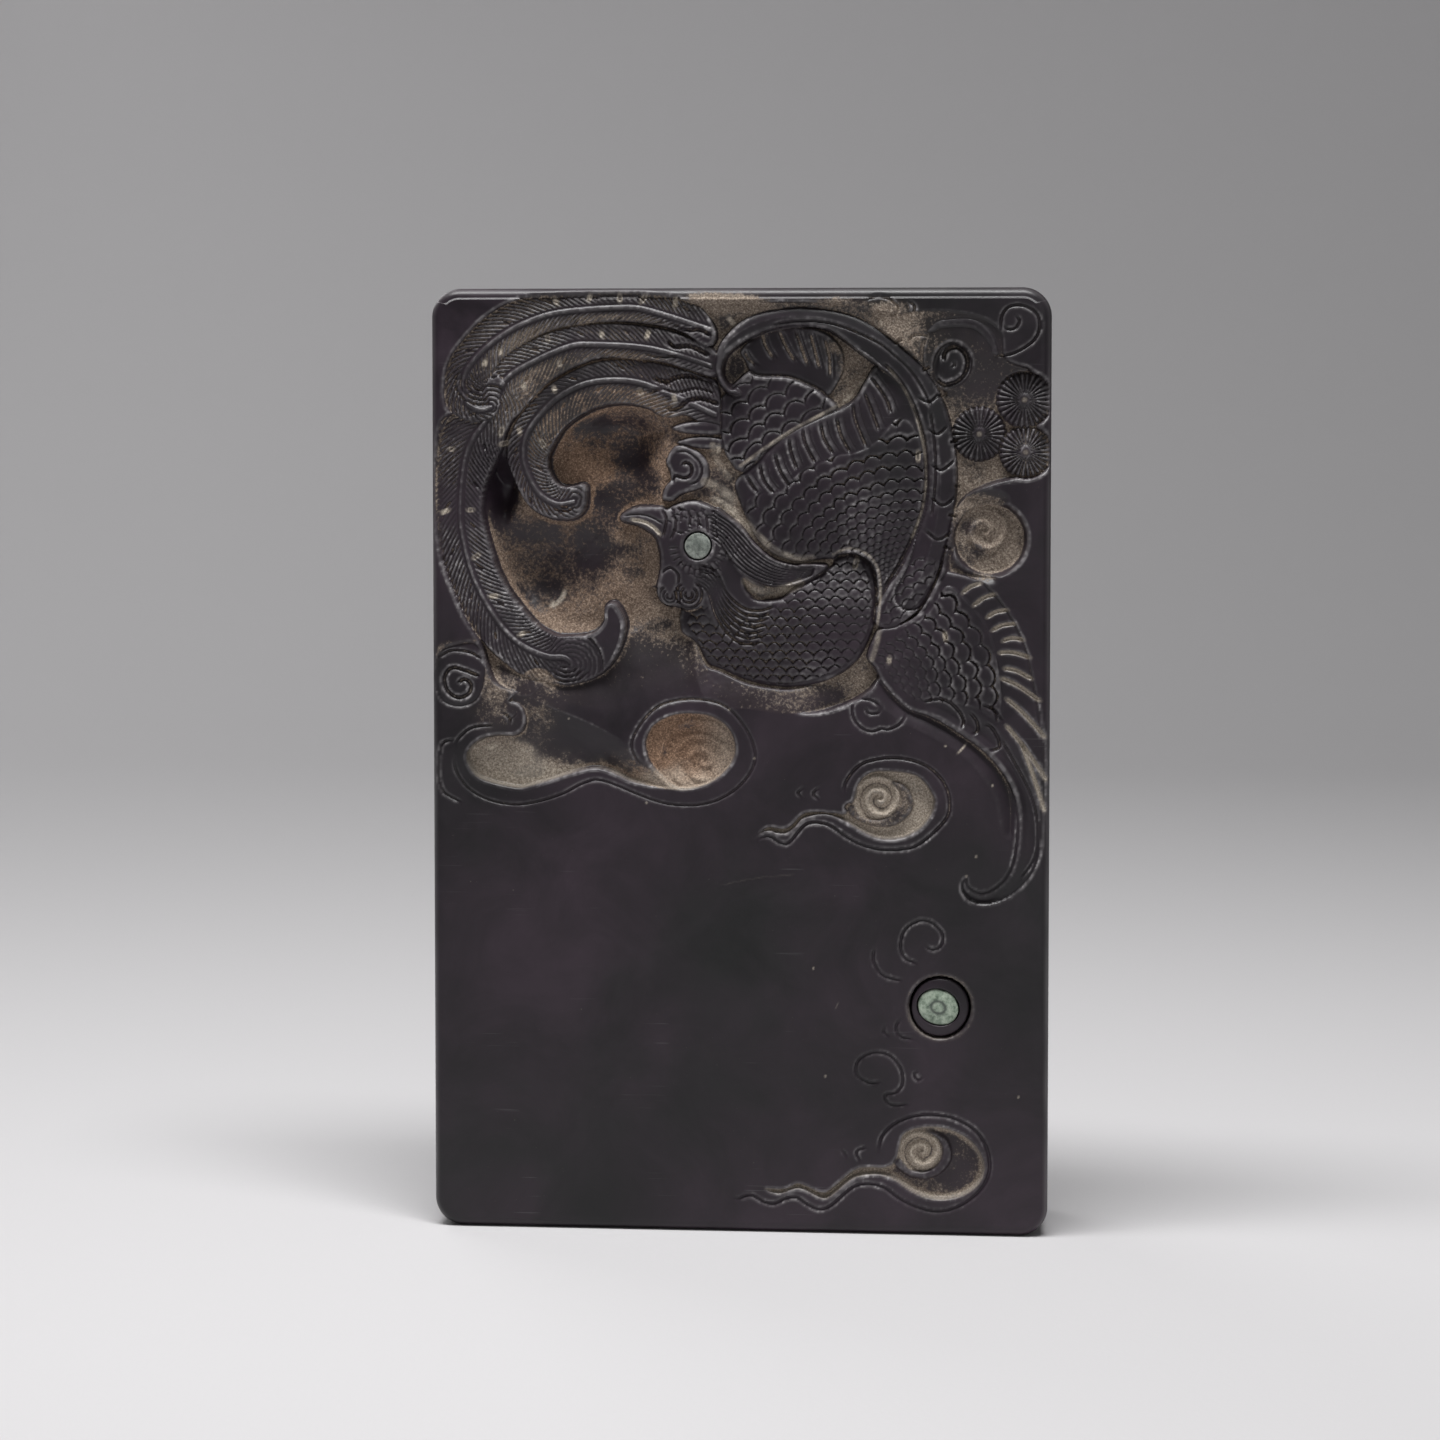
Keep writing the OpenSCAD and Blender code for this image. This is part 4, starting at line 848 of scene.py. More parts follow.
def carve_upper_clouds():
    """Clouds in the upper right and the cloud head at the left edge"""
    form(HOOK_CLOUD, 0.2, 0.7, 0.4, wall=0.4)
    form(CURL_CLOUD, 1.2, 2.4, 1.0, wall=0.6)
    groove([(42, 180.8), (42.2, 182.6), (43.8, 183.8), (45.8, 183.2), (46.8, 181), (46.4, 178.6),
            (44.6, 176.8), (42, 176.2), (40.6, 177.4)], 1.1, 0.9)
    groove([(43.9, 181.2), (44.2, 180.2), (43.4, 179.4)], 0.8, 0.5)
    groove([(38.2, 185.8), (37.4, 182.6), (38, 179), (40, 175.6), (43, 174.2)], 1.0, 0.45)
    groove(CORNER_CLOUD, 0.8, 0.5)
    groove([(54.3, 188.2), (55, 187.4), (56.5, 187.6), (57.4, 189), (56.6, 190.4)], 0.8, 0.5)
    for line in (
        [(26, 193.3), (28, 194), (30.5, 193.7), (32.3, 192.3), (32.5, 190.8), (31, 190.3)],
        [(34.5, 193.5), (36, 192), (35.5, 190.3)], [(34.8, 184.5), (35.5, 186), (37, 186.3), (39, 186)]
    ):
        groove(line, 0.8, 0.45)
    sink(LEFT_CLOUD, lambda win: 0.7 * smooth((Z[win] - 108) / 8), 1.2)
    form([(x * 0.97 - 1.7, z * 0.97 + 3.2) for x, z in LEFT_CLOUD], 0.25, 0.9, 0.4)
    groove([(-54, 115.6), (-57, 116.8), (-59.8, 117.4), (-61.4, 115.6), (-61, 112.8), (-58.8, 111.2),
            (-56.4, 112), (-56, 114), (-57.4, 115), (-58.8, 114)], 1.0, 0.75)
    groove([(-62.6, 119.6), (-60, 121), (-56, 120.6), (-53.4, 119)], 0.8, 0.5)
    win, far, _, _ = near(curve(LEFT_CLOUD[:4]), 1.6)
    raise_to(dust, win, 0.7 * smooth(1 - far / 1.2))


def carve_long_cloud():
    """Long sunk cloud below the pool, deepest at its foot, and the round hollow at its right end"""
    slope = smooth((-17 * (X + 21) - 19 * (Z - 100)) / 178)

    def floor(win):
        """Depth that fades out towards the upper right"""
        return (2.6 - 2.2 * smooth((Z[win] - 96) / 19)) * slope[win]

    win, into = sink(LONG_CLOUD, floor, 0.6)
    x, z = X[win], Z[win]
    on = smooth(into / 0.5)
    ragged = 3.0 * (noise(2.6, 81)[win] - 0.5) + 1.2 * (noise(0.9, 82)[win] - 0.5)
    lobe = smooth((-36 - x) / 12)
    reach = 4.6 + 8 * lobe + 0.6 * ragged
    band = smooth((reach - into) / (0.8 * reach)) * smooth((101 + 6 * lobe - z + ragged) / 7)
    channel = 0.78 * smooth((-35.5 - x + ragged) / 6) * smooth((x + 48) / 3)
    dust[win] *= 1 - on * slope[win]
    raise_to(dust, win, on * np.maximum(1.5 * band, channel))
    raise_to(cream, win, on * 0.45 * band ** 2.2)
    win, into = signed(ROUND_HOLLOW, 6)
    x, z = X[win], Z[win]
    on = smooth(into / 0.7)
    bowl = 1.3 + 1.3 * smooth(into / 5)
    blend(depth, win, np.maximum(depth[win], bowl), on)
    bank = smooth(1 - np.abs(spiral(x + 7.5, z - 98, 3.1) - 0.5) / 0.4)
    depth[win] -= on * 0.5 * bank * smooth(into / 2)
    raise_to(dust, win, 1.5 * on)
    raise_to(rust, win, on * (0.85 - 0.5 * smooth((x + 10) / 8)))
    raise_to(cream, win, on * 0.22 * smooth((x + 12) / 10))
    paint(rust, -20, 96, 9, 5, 0.55, 0.9)
    groove(LONG_LINE, 0.75, 0.4, taper=5)
    groove([(-48, 106.6), (-46.6, 107.6), (-46.4, 109)], 0.5, 0.2)


def spiral_cloud(outline, tongue, line, centre, start, pitch, full):
    """Dusty cloud hollow with a spiral floor, a painted shadow line along the spiral, a stone tongue and an
    engraved ring. A cloud that isn't full keeps its dust near the wall and in the spiral"""
    win, into = sink(outline, CLOUD_DEPTH, 0.7, 1.6)
    dx, dz = X[win] - centre[0], Z[win] - centre[1]
    away = np.hypot(dx, dz)
    turn = spiral(dx, dz, pitch, start)
    bank = smooth(1 - np.abs(turn - 0.5) / 0.4)
    depth[win] -= 0.95 * bank * smooth(into) * smooth(6.2 - away)
    # Dust and pale marks wiped from a thin line along the spiral's hollow: a painted shadow line
    painted_shadow_line = smooth(1 - np.minimum(turn, 1 - turn) / 0.13) * smooth((away - 0.4) / 0.8) * (away < 5.4)
    dust[win] *= 1 - 0.75 * painted_shadow_line * (into > 0)
    raise_to(cream, win, 0.48 * smooth(into / 0.8) * (1 - painted_shadow_line) * (full | (away < 5.2)))
    if not full:
        dust[win] *= np.where(away < 5.2, 1, 0.06 + 0.94 * smooth((1.95 - into) / 1.4))
        raise_to(cream, win, 0.45 * smooth((1.5 - into) / 1.2) * smooth(into / 0.3))
    win, _, on = form(tongue, 0.75, 1.0, 0.7, wall=0.4)
    if full:
        raise_to(dust, win, 0.62 * on)
    cream[win] *= 1 - on
    groove(line, 0.9, 0.5, taper=4)


def carve_small_clouds():
    """Two spiral clouds, the engraved clouds, and the ring and hole of the bead with a painted highlight on
    the ring
    """
    spiral_cloud(MID_CLOUD, MID_TONGUE, MID_LINE, (29, 90.6), 0.1, 2.8, True)
    spiral_cloud(LOW_CLOUD, LOW_TONGUE, LOW_LINE, (37.9, 17.3), 0.2, 2.6, False)
    for line in THIN_LINES:
        groove(line, 0.8, 0.42, taper=2)
    x, z, r = BEAD
    win, dx, dz, away = around(x, z, r + 4)
    ring = np.sqrt(np.clip(1 - ((away - r - 0.15) / 0.5) ** 2, 0, 1))
    bed = BEAD_HOLE_DEPTH * smooth((r + 0.3 - away) / 0.3)
    raise_to(depth, win, np.maximum(0.6 * ring, bed))
    raise_to(dust, win, 0.75 * smooth(1 - np.abs(away - r - 0.5) / 1.1))
    # Pale colour on the ring round the bead, strongest to the upper right and lower left: a painted highlight
    bright = np.cos(np.arctan2(dz, dx) - 1.0) ** 2
    raise_to(cream, win, 0.35 * bright * smooth(1 - np.abs(away - r - 0.45) / 0.4))


def almond_marks():
    """Pale almond marks on the feathers, some with a bare middle"""
    marks = [
        (-61.3, 149.9), (-60, 162.8), (-56, 150.2), (-54.8, 140.6), (-51.2, 132.3), (-45.3, 124.5),
        (-45.8, 166.6), (-49.5, 166.5), (-49, 164), (-41, 164), (-38.5, 175.3), (-37.3, 180.5),
        (-20.5, 174.5), (-13.5, 173.3), (-31, 194), (-24.7, 194), (-19.8, 193.8), (-38, 193.3), (-13.2, 193),
        (-19, 186.5), (-39.8, 185.8), (-28.5, 186.5), (-49.6, 183), (-52.8, 180.7), (-4.5, 162.7),
        (-1.8, 189.2), (-44.8, 175.8), (-52, 100.5), (36.8, 161.5), (31, 119.5), (42.5, 124.5), (24, 139.3),
        (-39.5, 130.3)
    ]
    random = np.random.default_rng(5)
    for x, z in marks:
        turn = random.uniform(-0.4, 0.6) if x < -44 and z < 166 else random.uniform(0.9, 2.3)
        half = np.array([math.cos(turn), math.sin(turn)]) * random.uniform(0.6, 1.0)
        win, cut = groove([half * -1 + (x, z), (x, z), half + (x, z)], 1.15, 0.12, taper=0.5)
        hole = 0.8 * (random.random() < 0.4)
        raise_to(cream, win, cut ** 0.6 * (1 - hole * smooth((cut - 0.55) / 0.3)))


def chips_and_seams():
    """Small chips, chalky seams beside raised forms and thin scratches"""
    chalky = 0.35 + 0.8 * lumps(1.6, 83, 0.25, 0.5)
    for x, z in (
        (-53.5, 100.2), (-42, 107.7), (-35.5, 106.9), (-2, 109.1), (3.2, 99), (-19.2, 89.6), (52.3, 93.8),
        (42.6, 101.9), (49, 79.1), (47, 75), (15.5, 55.5), (18, 33), (57.9, 29.3)
    ):
        paint(cream, x, z, 0.24, 0.24, 0.5, 0.4)
    for width, pale, line in (
        (2.4, 0.62, [(-5.4, 152.4), (-2, 150.4), (1, 147.8), (4, 144.6), (7.4, 141.8), (11, 140.4),
                     (15, 140.2)]),
        (1.1, 0.5, [(0.2, 159.4), (6, 163.6), (12, 167.4), (18, 170.6), (22, 173.2), (25, 176.6)]),
        (0.9, 0.5, [(19.4, 141.2), (22, 142.4), (25, 142), (27.6, 140), (28.9, 136.6), (29, 131),
                    (28.4, 126)]),
        (0.8, 0.42, [(30.6, 179.6), (34, 175), (36.4, 169.4), (38, 163), (38.4, 156.5), (37.6, 150.5),
                     (35.6, 144.8)]),
        (2.6, 0.6, [(1.4, 135.6), (3.6, 134), (6.4, 133.4), (10, 134.2), (12.6, 135.2)]),
        (3.0, 0.4, [(-7, 156), (-4, 154.4), (-1.4, 152.4)]),
        (2.0, 0.35, [(-5.6, 163.6), (-4.6, 160), (-2.4, 157)]),
        (1.6, 0.5, [(29, 125.4), (28.2, 122), (27.4, 119.6)])
    ):
        win, far, _, _ = near(curve(line), width / 2)
        raise_to(cream, win, pale * chalky[win] * smooth(1.3 - 2.6 * far / width))
    for width, pale, line in (
        (0.3, 0.05, [(-4, 72.5), (4, 74.2), (12, 75)]),
        (0.6, 0.7, [(44.9, 100.2), (46, 101.3), (47, 102.5)]),
        (1.3, 0.8, [(-40.6, 129.8), (-39, 130.4), (-37.8, 131.6), (-37, 133.6)]),
        (0.3, 0.3, [(20, 47), (20.8, 48.6)])
    ):
        win, cut = groove(line, width, 0.03)
        raise_to(cream, win, pale * cut)


# Reach of two blurs in cells, and height from which dust settles
WIDE_BLUR = 5
CLOSE_BLUR = 2
DUST_FROM = 80


def settle_dust():
    """Adds dust where the carving is hollow, keeps the pit beside the feather bare as painted shade, lightens
    its raised edges as wear and painted highlight, and roughens the dusty floors
    """
    sunk = smooth(depth / 0.8) * smooth((Z - DUST_FROM) / 10)
    hollow = depth - blur(depth, WIDE_BLUR)
    close = depth - blur(depth, CLOSE_BLUR)
    patch = smooth((noise(7, 51) * 0.6 + noise(2.6, 52) * 0.4 - 0.22) / 0.5)
    corners = 0.65 * smooth((hollow - 0.1) / 0.6) + 0.45 * smooth((close - 0.05) / 0.2)
    spread = 0.35 + 0.65 * lumps(18, 53, 0.25, 0.5)
    dust[:] = np.clip(dust * (0.3 + 0.7 * patch) + sunk * corners * spread, 0, 1)
    # The pit beside the feather is wiped bare again, so its dark stone stands as painted shade
    clear(dust, -51.5, 158, 4.4, 9, 1.0, 0.5)
    # Patchy light colour on raised edges, with fine sparkle: partly wear, partly a painted highlight
    wear_and_highlight[:] = smooth((-close - 0.01) / 0.15) * smooth((Z - 2) / 2) * (0.25 + 0.75 * lumps(9, 54, 0.25, 0.45))
    wear_and_highlight[:] *= (1 - 0.8 * smooth(dust * 1.4 - 0.3)) * (0.6 + 0.9 * lumps(0.7, 55, 0.35, 0.4))
    wear_and_highlight[:] *= 1 + 1.6 * lumps(0.5, 56, 0.66, 0.16) * lumps(12, 57, 0.3, 0.4)
    slope_z, slope_x = np.gradient(blur(depth, 1), CELL)
    dust[:] *= 1 - 0.8 * smooth((np.hypot(slope_x, slope_z) - 1.0) / 1.2)
    depth[:] += 0.12 * (noise(0.45, 7) - 0.5) * dust


def unevenness():
    """Faint waves all over the face"""
    depth[:] += np.clip(noise(14, 11) * 0.10 + noise(5, 12) * 0.03, 0, 1) * 0.6


def carve():
    """Works the whole face, from its ground to its dust, with low forms before those that lie on them"""
    carve_ground()
    carve_feathers()
    carve_discs()
    carve_upper_clouds()
    carve_wing_two()
    carve_wings()
    carve_bird()
    carve_long_cloud()
    carve_small_clouds()
    almond_marks()
    chips_and_seams()
    settle_dust()
    unevenness()


def bent(u, v):
    """Turns the square corners of the slab's outline into round ones"""
    cx = HALF_W - CORNER_R
    cz = HEIGHT / 2 - CORNER_R
    px = np.maximum(np.abs(u) - cx, 0)
    pz = np.maximum(np.abs(v - HEIGHT / 2) - cz, 0)
    size = np.maximum(np.hypot(px, pz), 1e-9)
    share = np.where((px > 0) & (pz > 0), np.maximum(px, pz) / size, 1)
    x = np.where(px > 0, np.sign(u) * (cx + px * share), u)
    z = np.where(pz > 0, HEIGHT / 2 + np.sign(v - HEIGHT / 2) * (cz + pz * share), v)
    return x, z


def lines_across(low, high, step):
    """Places of grid lines over the face, set closer round the two arrises"""
    turn = np.sin(np.linspace(0, math.pi / 2, ARRIS_STEPS + 1)) * ARRIS_R
    inner = np.arange(low + ARRIS_R, high - ARRIS_R, step)
    return np.concatenate([low + ARRIS_R - turn[:0:-1], inner, high - ARRIS_R + turn])


# Marks kept on the points, and steps of the slab's mesh, which is finer above the plain part
MARKS = {"dust": dust, "cream": cream, "wear_and_highlight": wear_and_highlight, "rust": rust}
CARVED_STEP = 0.2
PLAIN_STEP = 0.3
PLAIN_TOP = 84
ARRIS_STEPS = 7
WALL_STEPS = 25
BACK_STEPS = 6
BACK_RINGS = 40
WALL_LOOP_STEP = 0.6
# Steps of the rounded back edge that take a light band: wear and a painted highlight
WEAR_AND_HIGHLIGHT_BACK_STEPS = range(WALL_STEPS + 2, WALL_STEPS + 5)
WALL_HOLLOW = 0.1
WALL_WAVES = 0.12
BACK_DENT = 0.15
BACK_MIDDLE_DENT = 0.08


def face_grid():
    """Grid over the worked face, finer on its carved half, as x, y, z and the marks of its points"""
    fine = lines_across(0, HEIGHT, CARVED_STEP)
    coarse = lines_across(0, HEIGHT, PLAIN_STEP)
    heights = np.concatenate([coarse[coarse < PLAIN_TOP], fine[fine > PLAIN_TOP + 0.1]])
    U, V = np.meshgrid(lines_across(-HALF_W, HALF_W, CARVED_STEP), heights)
    x, z = bent(U, V)
    edge = np.minimum(HALF_W - np.abs(U), np.minimum(V, HEIGHT - V))
    turned = np.clip(ARRIS_R - edge, 0, ARRIS_R)
    arris = ARRIS_R - np.sqrt(np.maximum(ARRIS_R ** 2 - turned ** 2, 0))
    y = FACE_Y + arris + np.maximum(sample(depth, x, z), 0) * smooth(edge / 1.4)
    marks = {name: sample(field, x, z) * smooth(edge) for name, field in MARKS.items()}
    # Light band along the front arris: wear and a painted highlight
    wear_and_highlight_band = 0.7 * smooth(1 - np.abs(edge - 0.5) / 0.55) * (0.3 + 0.7 * sample(noise(8, 71), x, z))
    marks["wear_and_highlight"] += wear_and_highlight_band * (z > 2)
    return x, y, z, np.stack([field.ravel() for field in marks.values()], 1)


def wall_rings(base_x, base_z):
    """Rings of points from the arris over the wall to the back edge, each with its share of light colour for
    wear and painted highlight
    """
    turn = np.linspace(0, math.pi / 2, BACK_STEPS + 1)
    levels = np.concatenate([
        np.linspace(ARRIS_R, THICK - ARRIS_R, WALL_STEPS + 1)[1:],
        THICK - ARRIS_R + ARRIS_R * np.sin(turn)[1:]
    ])
    insets = np.concatenate([np.zeros(WALL_STEPS), ARRIS_R * (1 - np.cos(turn))[1:]])
    wobble = WALL_WAVES * (noise(9, 21) + noise(3, 22) - 1)
    patches = noise(8, 72)
    for k, (level, inset) in enumerate(zip(levels, insets)):
        px = base_x * (1 - inset / HALF_W)
        pz = HEIGHT / 2 + (base_z - HEIGHT / 2) * (1 - inset / (HEIGHT / 2))
        hollow = WALL_HOLLOW * math.sin(math.pi * min((level - ARRIS_R) / (THICK - 2 * ARRIS_R), 1))
        inward = hollow + 0.06 * (sample(wobble, px, np.clip(pz + level, 0, HEIGHT)) + 0.1)
        inward = np.maximum(inward, 0) * (pz > 1)
        px = px * (1 - inward / HALF_W)
        pz = HEIGHT / 2 + (pz - HEIGHT / 2) * (1 - inward / HALF_W)
        # Patchy light band round the back edge: wear and a painted highlight
        back_wear_and_highlight = 0.5 * (k in WEAR_AND_HIGHLIGHT_BACK_STEPS) * sample(patches, px, np.clip(pz, 0, HEIGHT))
        yield np.stack([px, np.full(len(px), FACE_Y + level), pz], 1), back_wear_and_highlight


def back_rings(edge_ring):
    """Rings of points over the back, from its edge to its middle"""
    back_x, back_z = edge_ring[:, 0], edge_ring[:, 2]
    uneven = noise(11, 31)
    for share in np.linspace(0.985, 0.02, BACK_RINGS):
        px = back_x * share
        pz = HEIGHT / 2 + (back_z - HEIGHT / 2) * share
        dent = BACK_DENT * smooth((1 - share) / 0.06) * sample(uneven, px, pz)
        yield np.stack([px, np.full(len(px), -FACE_Y) - dent, pz], 1), 0


def build_stone():
    """Closed mesh of the carved slab, with its marks kept on the points"""
    x, y, z, face_marks = face_grid()
    points = [np.stack([x.ravel(), y.ravel(), z.ravel()], 1)]
    marks = [face_marks]
    index = np.arange(x.size).reshape(x.shape)
    quads = [np.stack([index[:-1, :-1], index[:-1, 1:], index[1:, 1:], index[1:, :-1]], -1).reshape(-1, 4)]
    loop = np.concatenate([index[0, :-1], index[:-1, -1], index[-1, :0:-1], index[:0:-1, 0]])
    edge_x, edge_z = x.ravel()[loop], z.ravel()[loop]
    travel = np.cumsum(np.hypot(np.diff(edge_x), np.diff(edge_z)))
    kept = np.unique(np.searchsorted(travel, np.arange(0, travel[-1] - 0.3, WALL_LOOP_STEP)))
    owner = np.searchsorted(kept, np.arange(len(loop)), side="right") - 1
    ring = x.size + np.arange(len(kept))
    triangles = [
        np.stack([loop, x.size + owner, np.roll(loop, -1)], 1),
        np.stack([loop[np.roll(kept, -1)], ring, np.roll(ring, -1)], 1)
    ]
    walls = list(wall_rings(edge_x[kept], edge_z[kept]))
    rings = walls + list(back_rings(walls[-1][0]))
    for ring_points, back_wear_and_highlight in rings:
        points.append(ring_points)
        ring_marks = np.zeros((len(kept), len(MARKS)))
        ring_marks[:, list(MARKS).index("wear_and_highlight")] = back_wear_and_highlight
        marks.append(ring_marks)
    for _ in rings[1:]:
        last = ring
        ring = last + len(kept)
        quads.append(np.stack([last, ring, np.roll(ring, -1), np.roll(last, -1)], 1))
    points.append(np.array([[0, -FACE_Y - BACK_MIDDLE_DENT, HEIGHT / 2]]))
    marks.append(np.zeros((1, len(MARKS))))
    triangles.append(np.stack([ring, np.full(len(kept), ring[-1] + 1), np.roll(ring, -1)], 1))
    named_marks = dict(zip(MARKS, np.vstack(marks).T))
    return mesh_piece("carved_stone", np.vstack(points), np.vstack(quads), np.vstack(triangles), named_marks)


def mesh_piece(name, points, quads, triangles, marks):
    """Blender object from points in millimetres, faces, and named marks with a value for each point"""
    mesh = bpy.data.meshes.new(name)
    corners = np.concatenate([quads.ravel(), triangles.ravel()]).astype(np.int32)
    sizes = np.concatenate([np.full(len(quads), 4), np.full(len(triangles), 3)]).astype(np.int32)
    mesh.vertices.add(len(points))
    mesh.vertices.foreach_set("co", (points * MM).astype(np.float32).ravel())
    mesh.loops.add(len(corners))
    mesh.loops.foreach_set("vertex_index", corners)
    mesh.polygons.add(len(sizes))
    mesh.polygons.foreach_set("loop_start", np.concatenate([[0], np.cumsum(sizes)[:-1]]).astype(np.int32))
    mesh.polygons.foreach_set("loop_total", sizes)
    mesh.polygons.foreach_set("use_smooth", np.ones(len(sizes), bool))
    for mark, values in marks.items():
        layer = mesh.attributes.new(mark, "FLOAT", "POINT")
        layer.data.foreach_set("value", values.astype(np.float32))
    mesh.update(calc_edges=True)
    mesh.validate()
    piece = bpy.data.objects.new(name, mesh)
    bpy.context.scene.collection.objects.link(piece)
    return piece


class Look:
    """New material, with short ways to add nodes to it"""

    def __init__(self, name):
        """Starts the material, with its shader and its place on the object"""
        self.made = bpy.data.materials.new(name)
        self.made.use_nodes = True
        self.nodes = self.made.node_tree.nodes
        self.links = self.made.node_tree.links
        self.shader = self.nodes["Principled BSDF"]
        self.place = self.nodes.new("ShaderNodeTexCoord").outputs["Object"]

    def put(self, value, socket):
        """Sends an output, a number or a colour to a socket"""
        if isinstance(value, bpy.types.NodeSocket):
            self.links.new(value, socket)
        elif socket.type == "RGBA":
            socket.default_value = (*value, 1)
        else:
            socket.default_value = value

    def add(self, kind, out=0, **values):
        """Output of a new node, with sockets and settings given by name"""
        node = self.nodes.new("ShaderNode" + kind)
        for key, value in values.items():
            if key in node.inputs:
                self.put(value, node.inputs[key])
            else:
                setattr(node, key, value)
        return node.outputs[out]

    def noise(self, scale, detail, roughness=0.5, distortion=0.0):
        """Noise over the object"""
        return self.add("TexNoise", Vector=self.place, Scale=scale, Detail=detail, Roughness=roughness,
                        Distortion=distortion)

    def mark(self, name):
        """Value kept on the points under a name"""
        return self.add("Attribute", "Fac", attribute_name=name)

    def ramp(self, factor, *stops):
        """Colours along a factor, from pairs of a place and a colour or a grey"""
        node = self.nodes.new("ShaderNodeValToRGB")
        self.put(factor, node.inputs[0])
        elements = node.color_ramp.elements
        while len(elements) < len(stops):
            elements.new(0.5)
        for element, (place, colour) in zip(elements, stops):
            element.position = place
            element.color = (*colour, 1) if isinstance(colour, tuple) else (colour, colour, colour, 1)
        return node.outputs[0]

    def mix(self, factor, a, b, kind="MIX"):
        """Colour between a and b, each an output or a colour"""
        node = self.nodes.new("ShaderNodeMix")
        node.data_type = "RGBA"
        node.blend_type = kind
        for index, value in ((0, factor), (6, a), (7, b)):
            self.put(value, node.inputs[index])
        return node.outputs[2]

    def calc(self, operation, *values):
        """Arithmetic on outputs or numbers"""
        node = self.nodes.new("ShaderNodeMath")
        node.operation = operation
        for socket, value in zip(node.inputs, values):
            self.put(value, socket)
        return node.outputs[0]

    def times(self, a, b):
        """Product of two values"""
        return self.calc("MULTIPLY", a, b)

    def surface(self, height, strength, distance, **values):
        """Bumps the surface by a height, sends the other values to the shader and gives the material"""
        values["Normal"] = self.add("Bump", Height=height, Strength=strength, Distance=distance)
        for key, value in values.items():
            self.put(value, self.shader.inputs[key.replace("_", " ")])
        return self.made


def stone_material():
    """Dark purple stone with soft clouding, specks, a satin sheen, light edges that are wear and painted
    highlight, and dust in the hollows
    """
    look = Look("dark_stone")
    clouds = look.noise(22.0, 5.0, 0.6)
    patches = look.noise(48.0, 6.0, 0.65, 0.6)
    grain = look.noise(1400.0, 3.0, 0.7)
    grit = look.noise(2600.0, 2.0, 0.8)
    few = look.ramp(look.noise(90.0, 1.0), (0.6, 0), (0.66, 1))
    tone = look.ramp(clouds, (0.32, (0.016, 0.0155, 0.0165)), (0.5, (0.0245, 0.018, 0.0235)),
                     (0.68, (0.034, 0.0235, 0.032)))
    shade = look.ramp(patches, (0.35, (0.6, 0.63, 0.62)), (0.65, (1.2, 1.17, 1.2)))
    colour = look.mix(1.0, tone, shade, "MULTIPLY")

    cells = look.add("TexVoronoi", "Distance", Vector=look.place, Scale=260.0)
    speck = look.times(look.ramp(cells, (0.0, 1), (0.05, 0)), few)
    colour = look.mix(look.times(speck, 0.7), colour, (0.16, 0.15, 0.12))
    turned = look.add("Mapping", Vector=look.place, Rotation=(0.3, 0.55, 0.2), Scale=(55.0, 55.0, 2600.0))
    streaks = look.add("TexNoise", Vector=turned, Scale=1.0, Detail=2.0, Roughness=0.5)
    scratch = look.times(look.ramp(streaks, (0.66, 0), (0.74, 1)), few)
    colour = look.mix(look.times(scratch, 0.3), colour, (0.13, 0.125, 0.13))
    # Light colour on raised edges and arrises: wear with a painted highlight
    colour = look.mix(look.times(look.mark("wear_and_highlight"), 0.35), colour, (0.31, 0.295, 0.3))

    dusty = look.mark("dust")
    colour = look.mix(look.times(dusty, 0.42), colour, (0.1, 0.08, 0.064))
    speckle = look.calc("ADD", dusty, look.times(look.calc("SUBTRACT", grain, 0.5), 1.6))
    cover = look.ramp(speckle, (0.34, 0), (0.78, 1))
    sand = look.ramp(grit, (0.3, (0.1, 0.076, 0.06)), (0.5, (0.24, 0.19, 0.15)), (0.72, (0.52, 0.45, 0.37)))
    sand = look.mix(look.mark("rust"), sand, (1.0, 0.72, 0.55), "MULTIPLY")
    colour = look.mix(look.times(cover, 0.9), colour, sand)
    chalk = look.ramp(grit, (0.32, (0.3, 0.255, 0.205)), (0.66, (0.74, 0.66, 0.55)))
    colour = look.mix(look.mark("cream"), colour, chalk)

    sheen = look.mix(cover, look.ramp(patches, (0.3, 0.3), (0.7, 0.42)), (0.9, 0.9, 0.9))
    strength = look.calc("ADD", look.times(cover, 0.5), 0.06)
    return look.surface(look.mix(cover, grain, grit), strength, 0.0003, Base_Color=colour,
                        Roughness=sheen, Specular_IOR_Level=0.36)


def green_material(name, scale, *tones):
    """Pale grey-green stone, mottled and darker in its middle"""
    look = Look(name)
    mottle = look.noise(scale, 5.0, 0.7)
    colour = look.mix(look.mark("ring"), look.ramp(mottle, *tones), (0.05, 0.062, 0.055))
    return look.surface(mottle, 0.15, 0.0002, Base_Color=colour, Roughness=0.35)


# Angles of the points on each ring of a round piece
SPOKE_COUNT = 72
SPOKES = np.arange(SPOKE_COUNT) * 2 * math.pi / SPOKE_COUNT


def oval(centre, rx, rz, tilt, below):
    """Ring of points on a tilted oval, at a depth below the face"""
    c, s = math.cos(math.radians(tilt)), math.sin(math.radians(tilt))
    px, pz = rx * np.cos(SPOKES), rz * np.sin(SPOKES)
    level = np.full(SPOKE_COUNT, FACE_Y + below)
    return np.stack([centre[0] + c * px - s * pz, level, centre[1] + s * px + c * pz], 1)


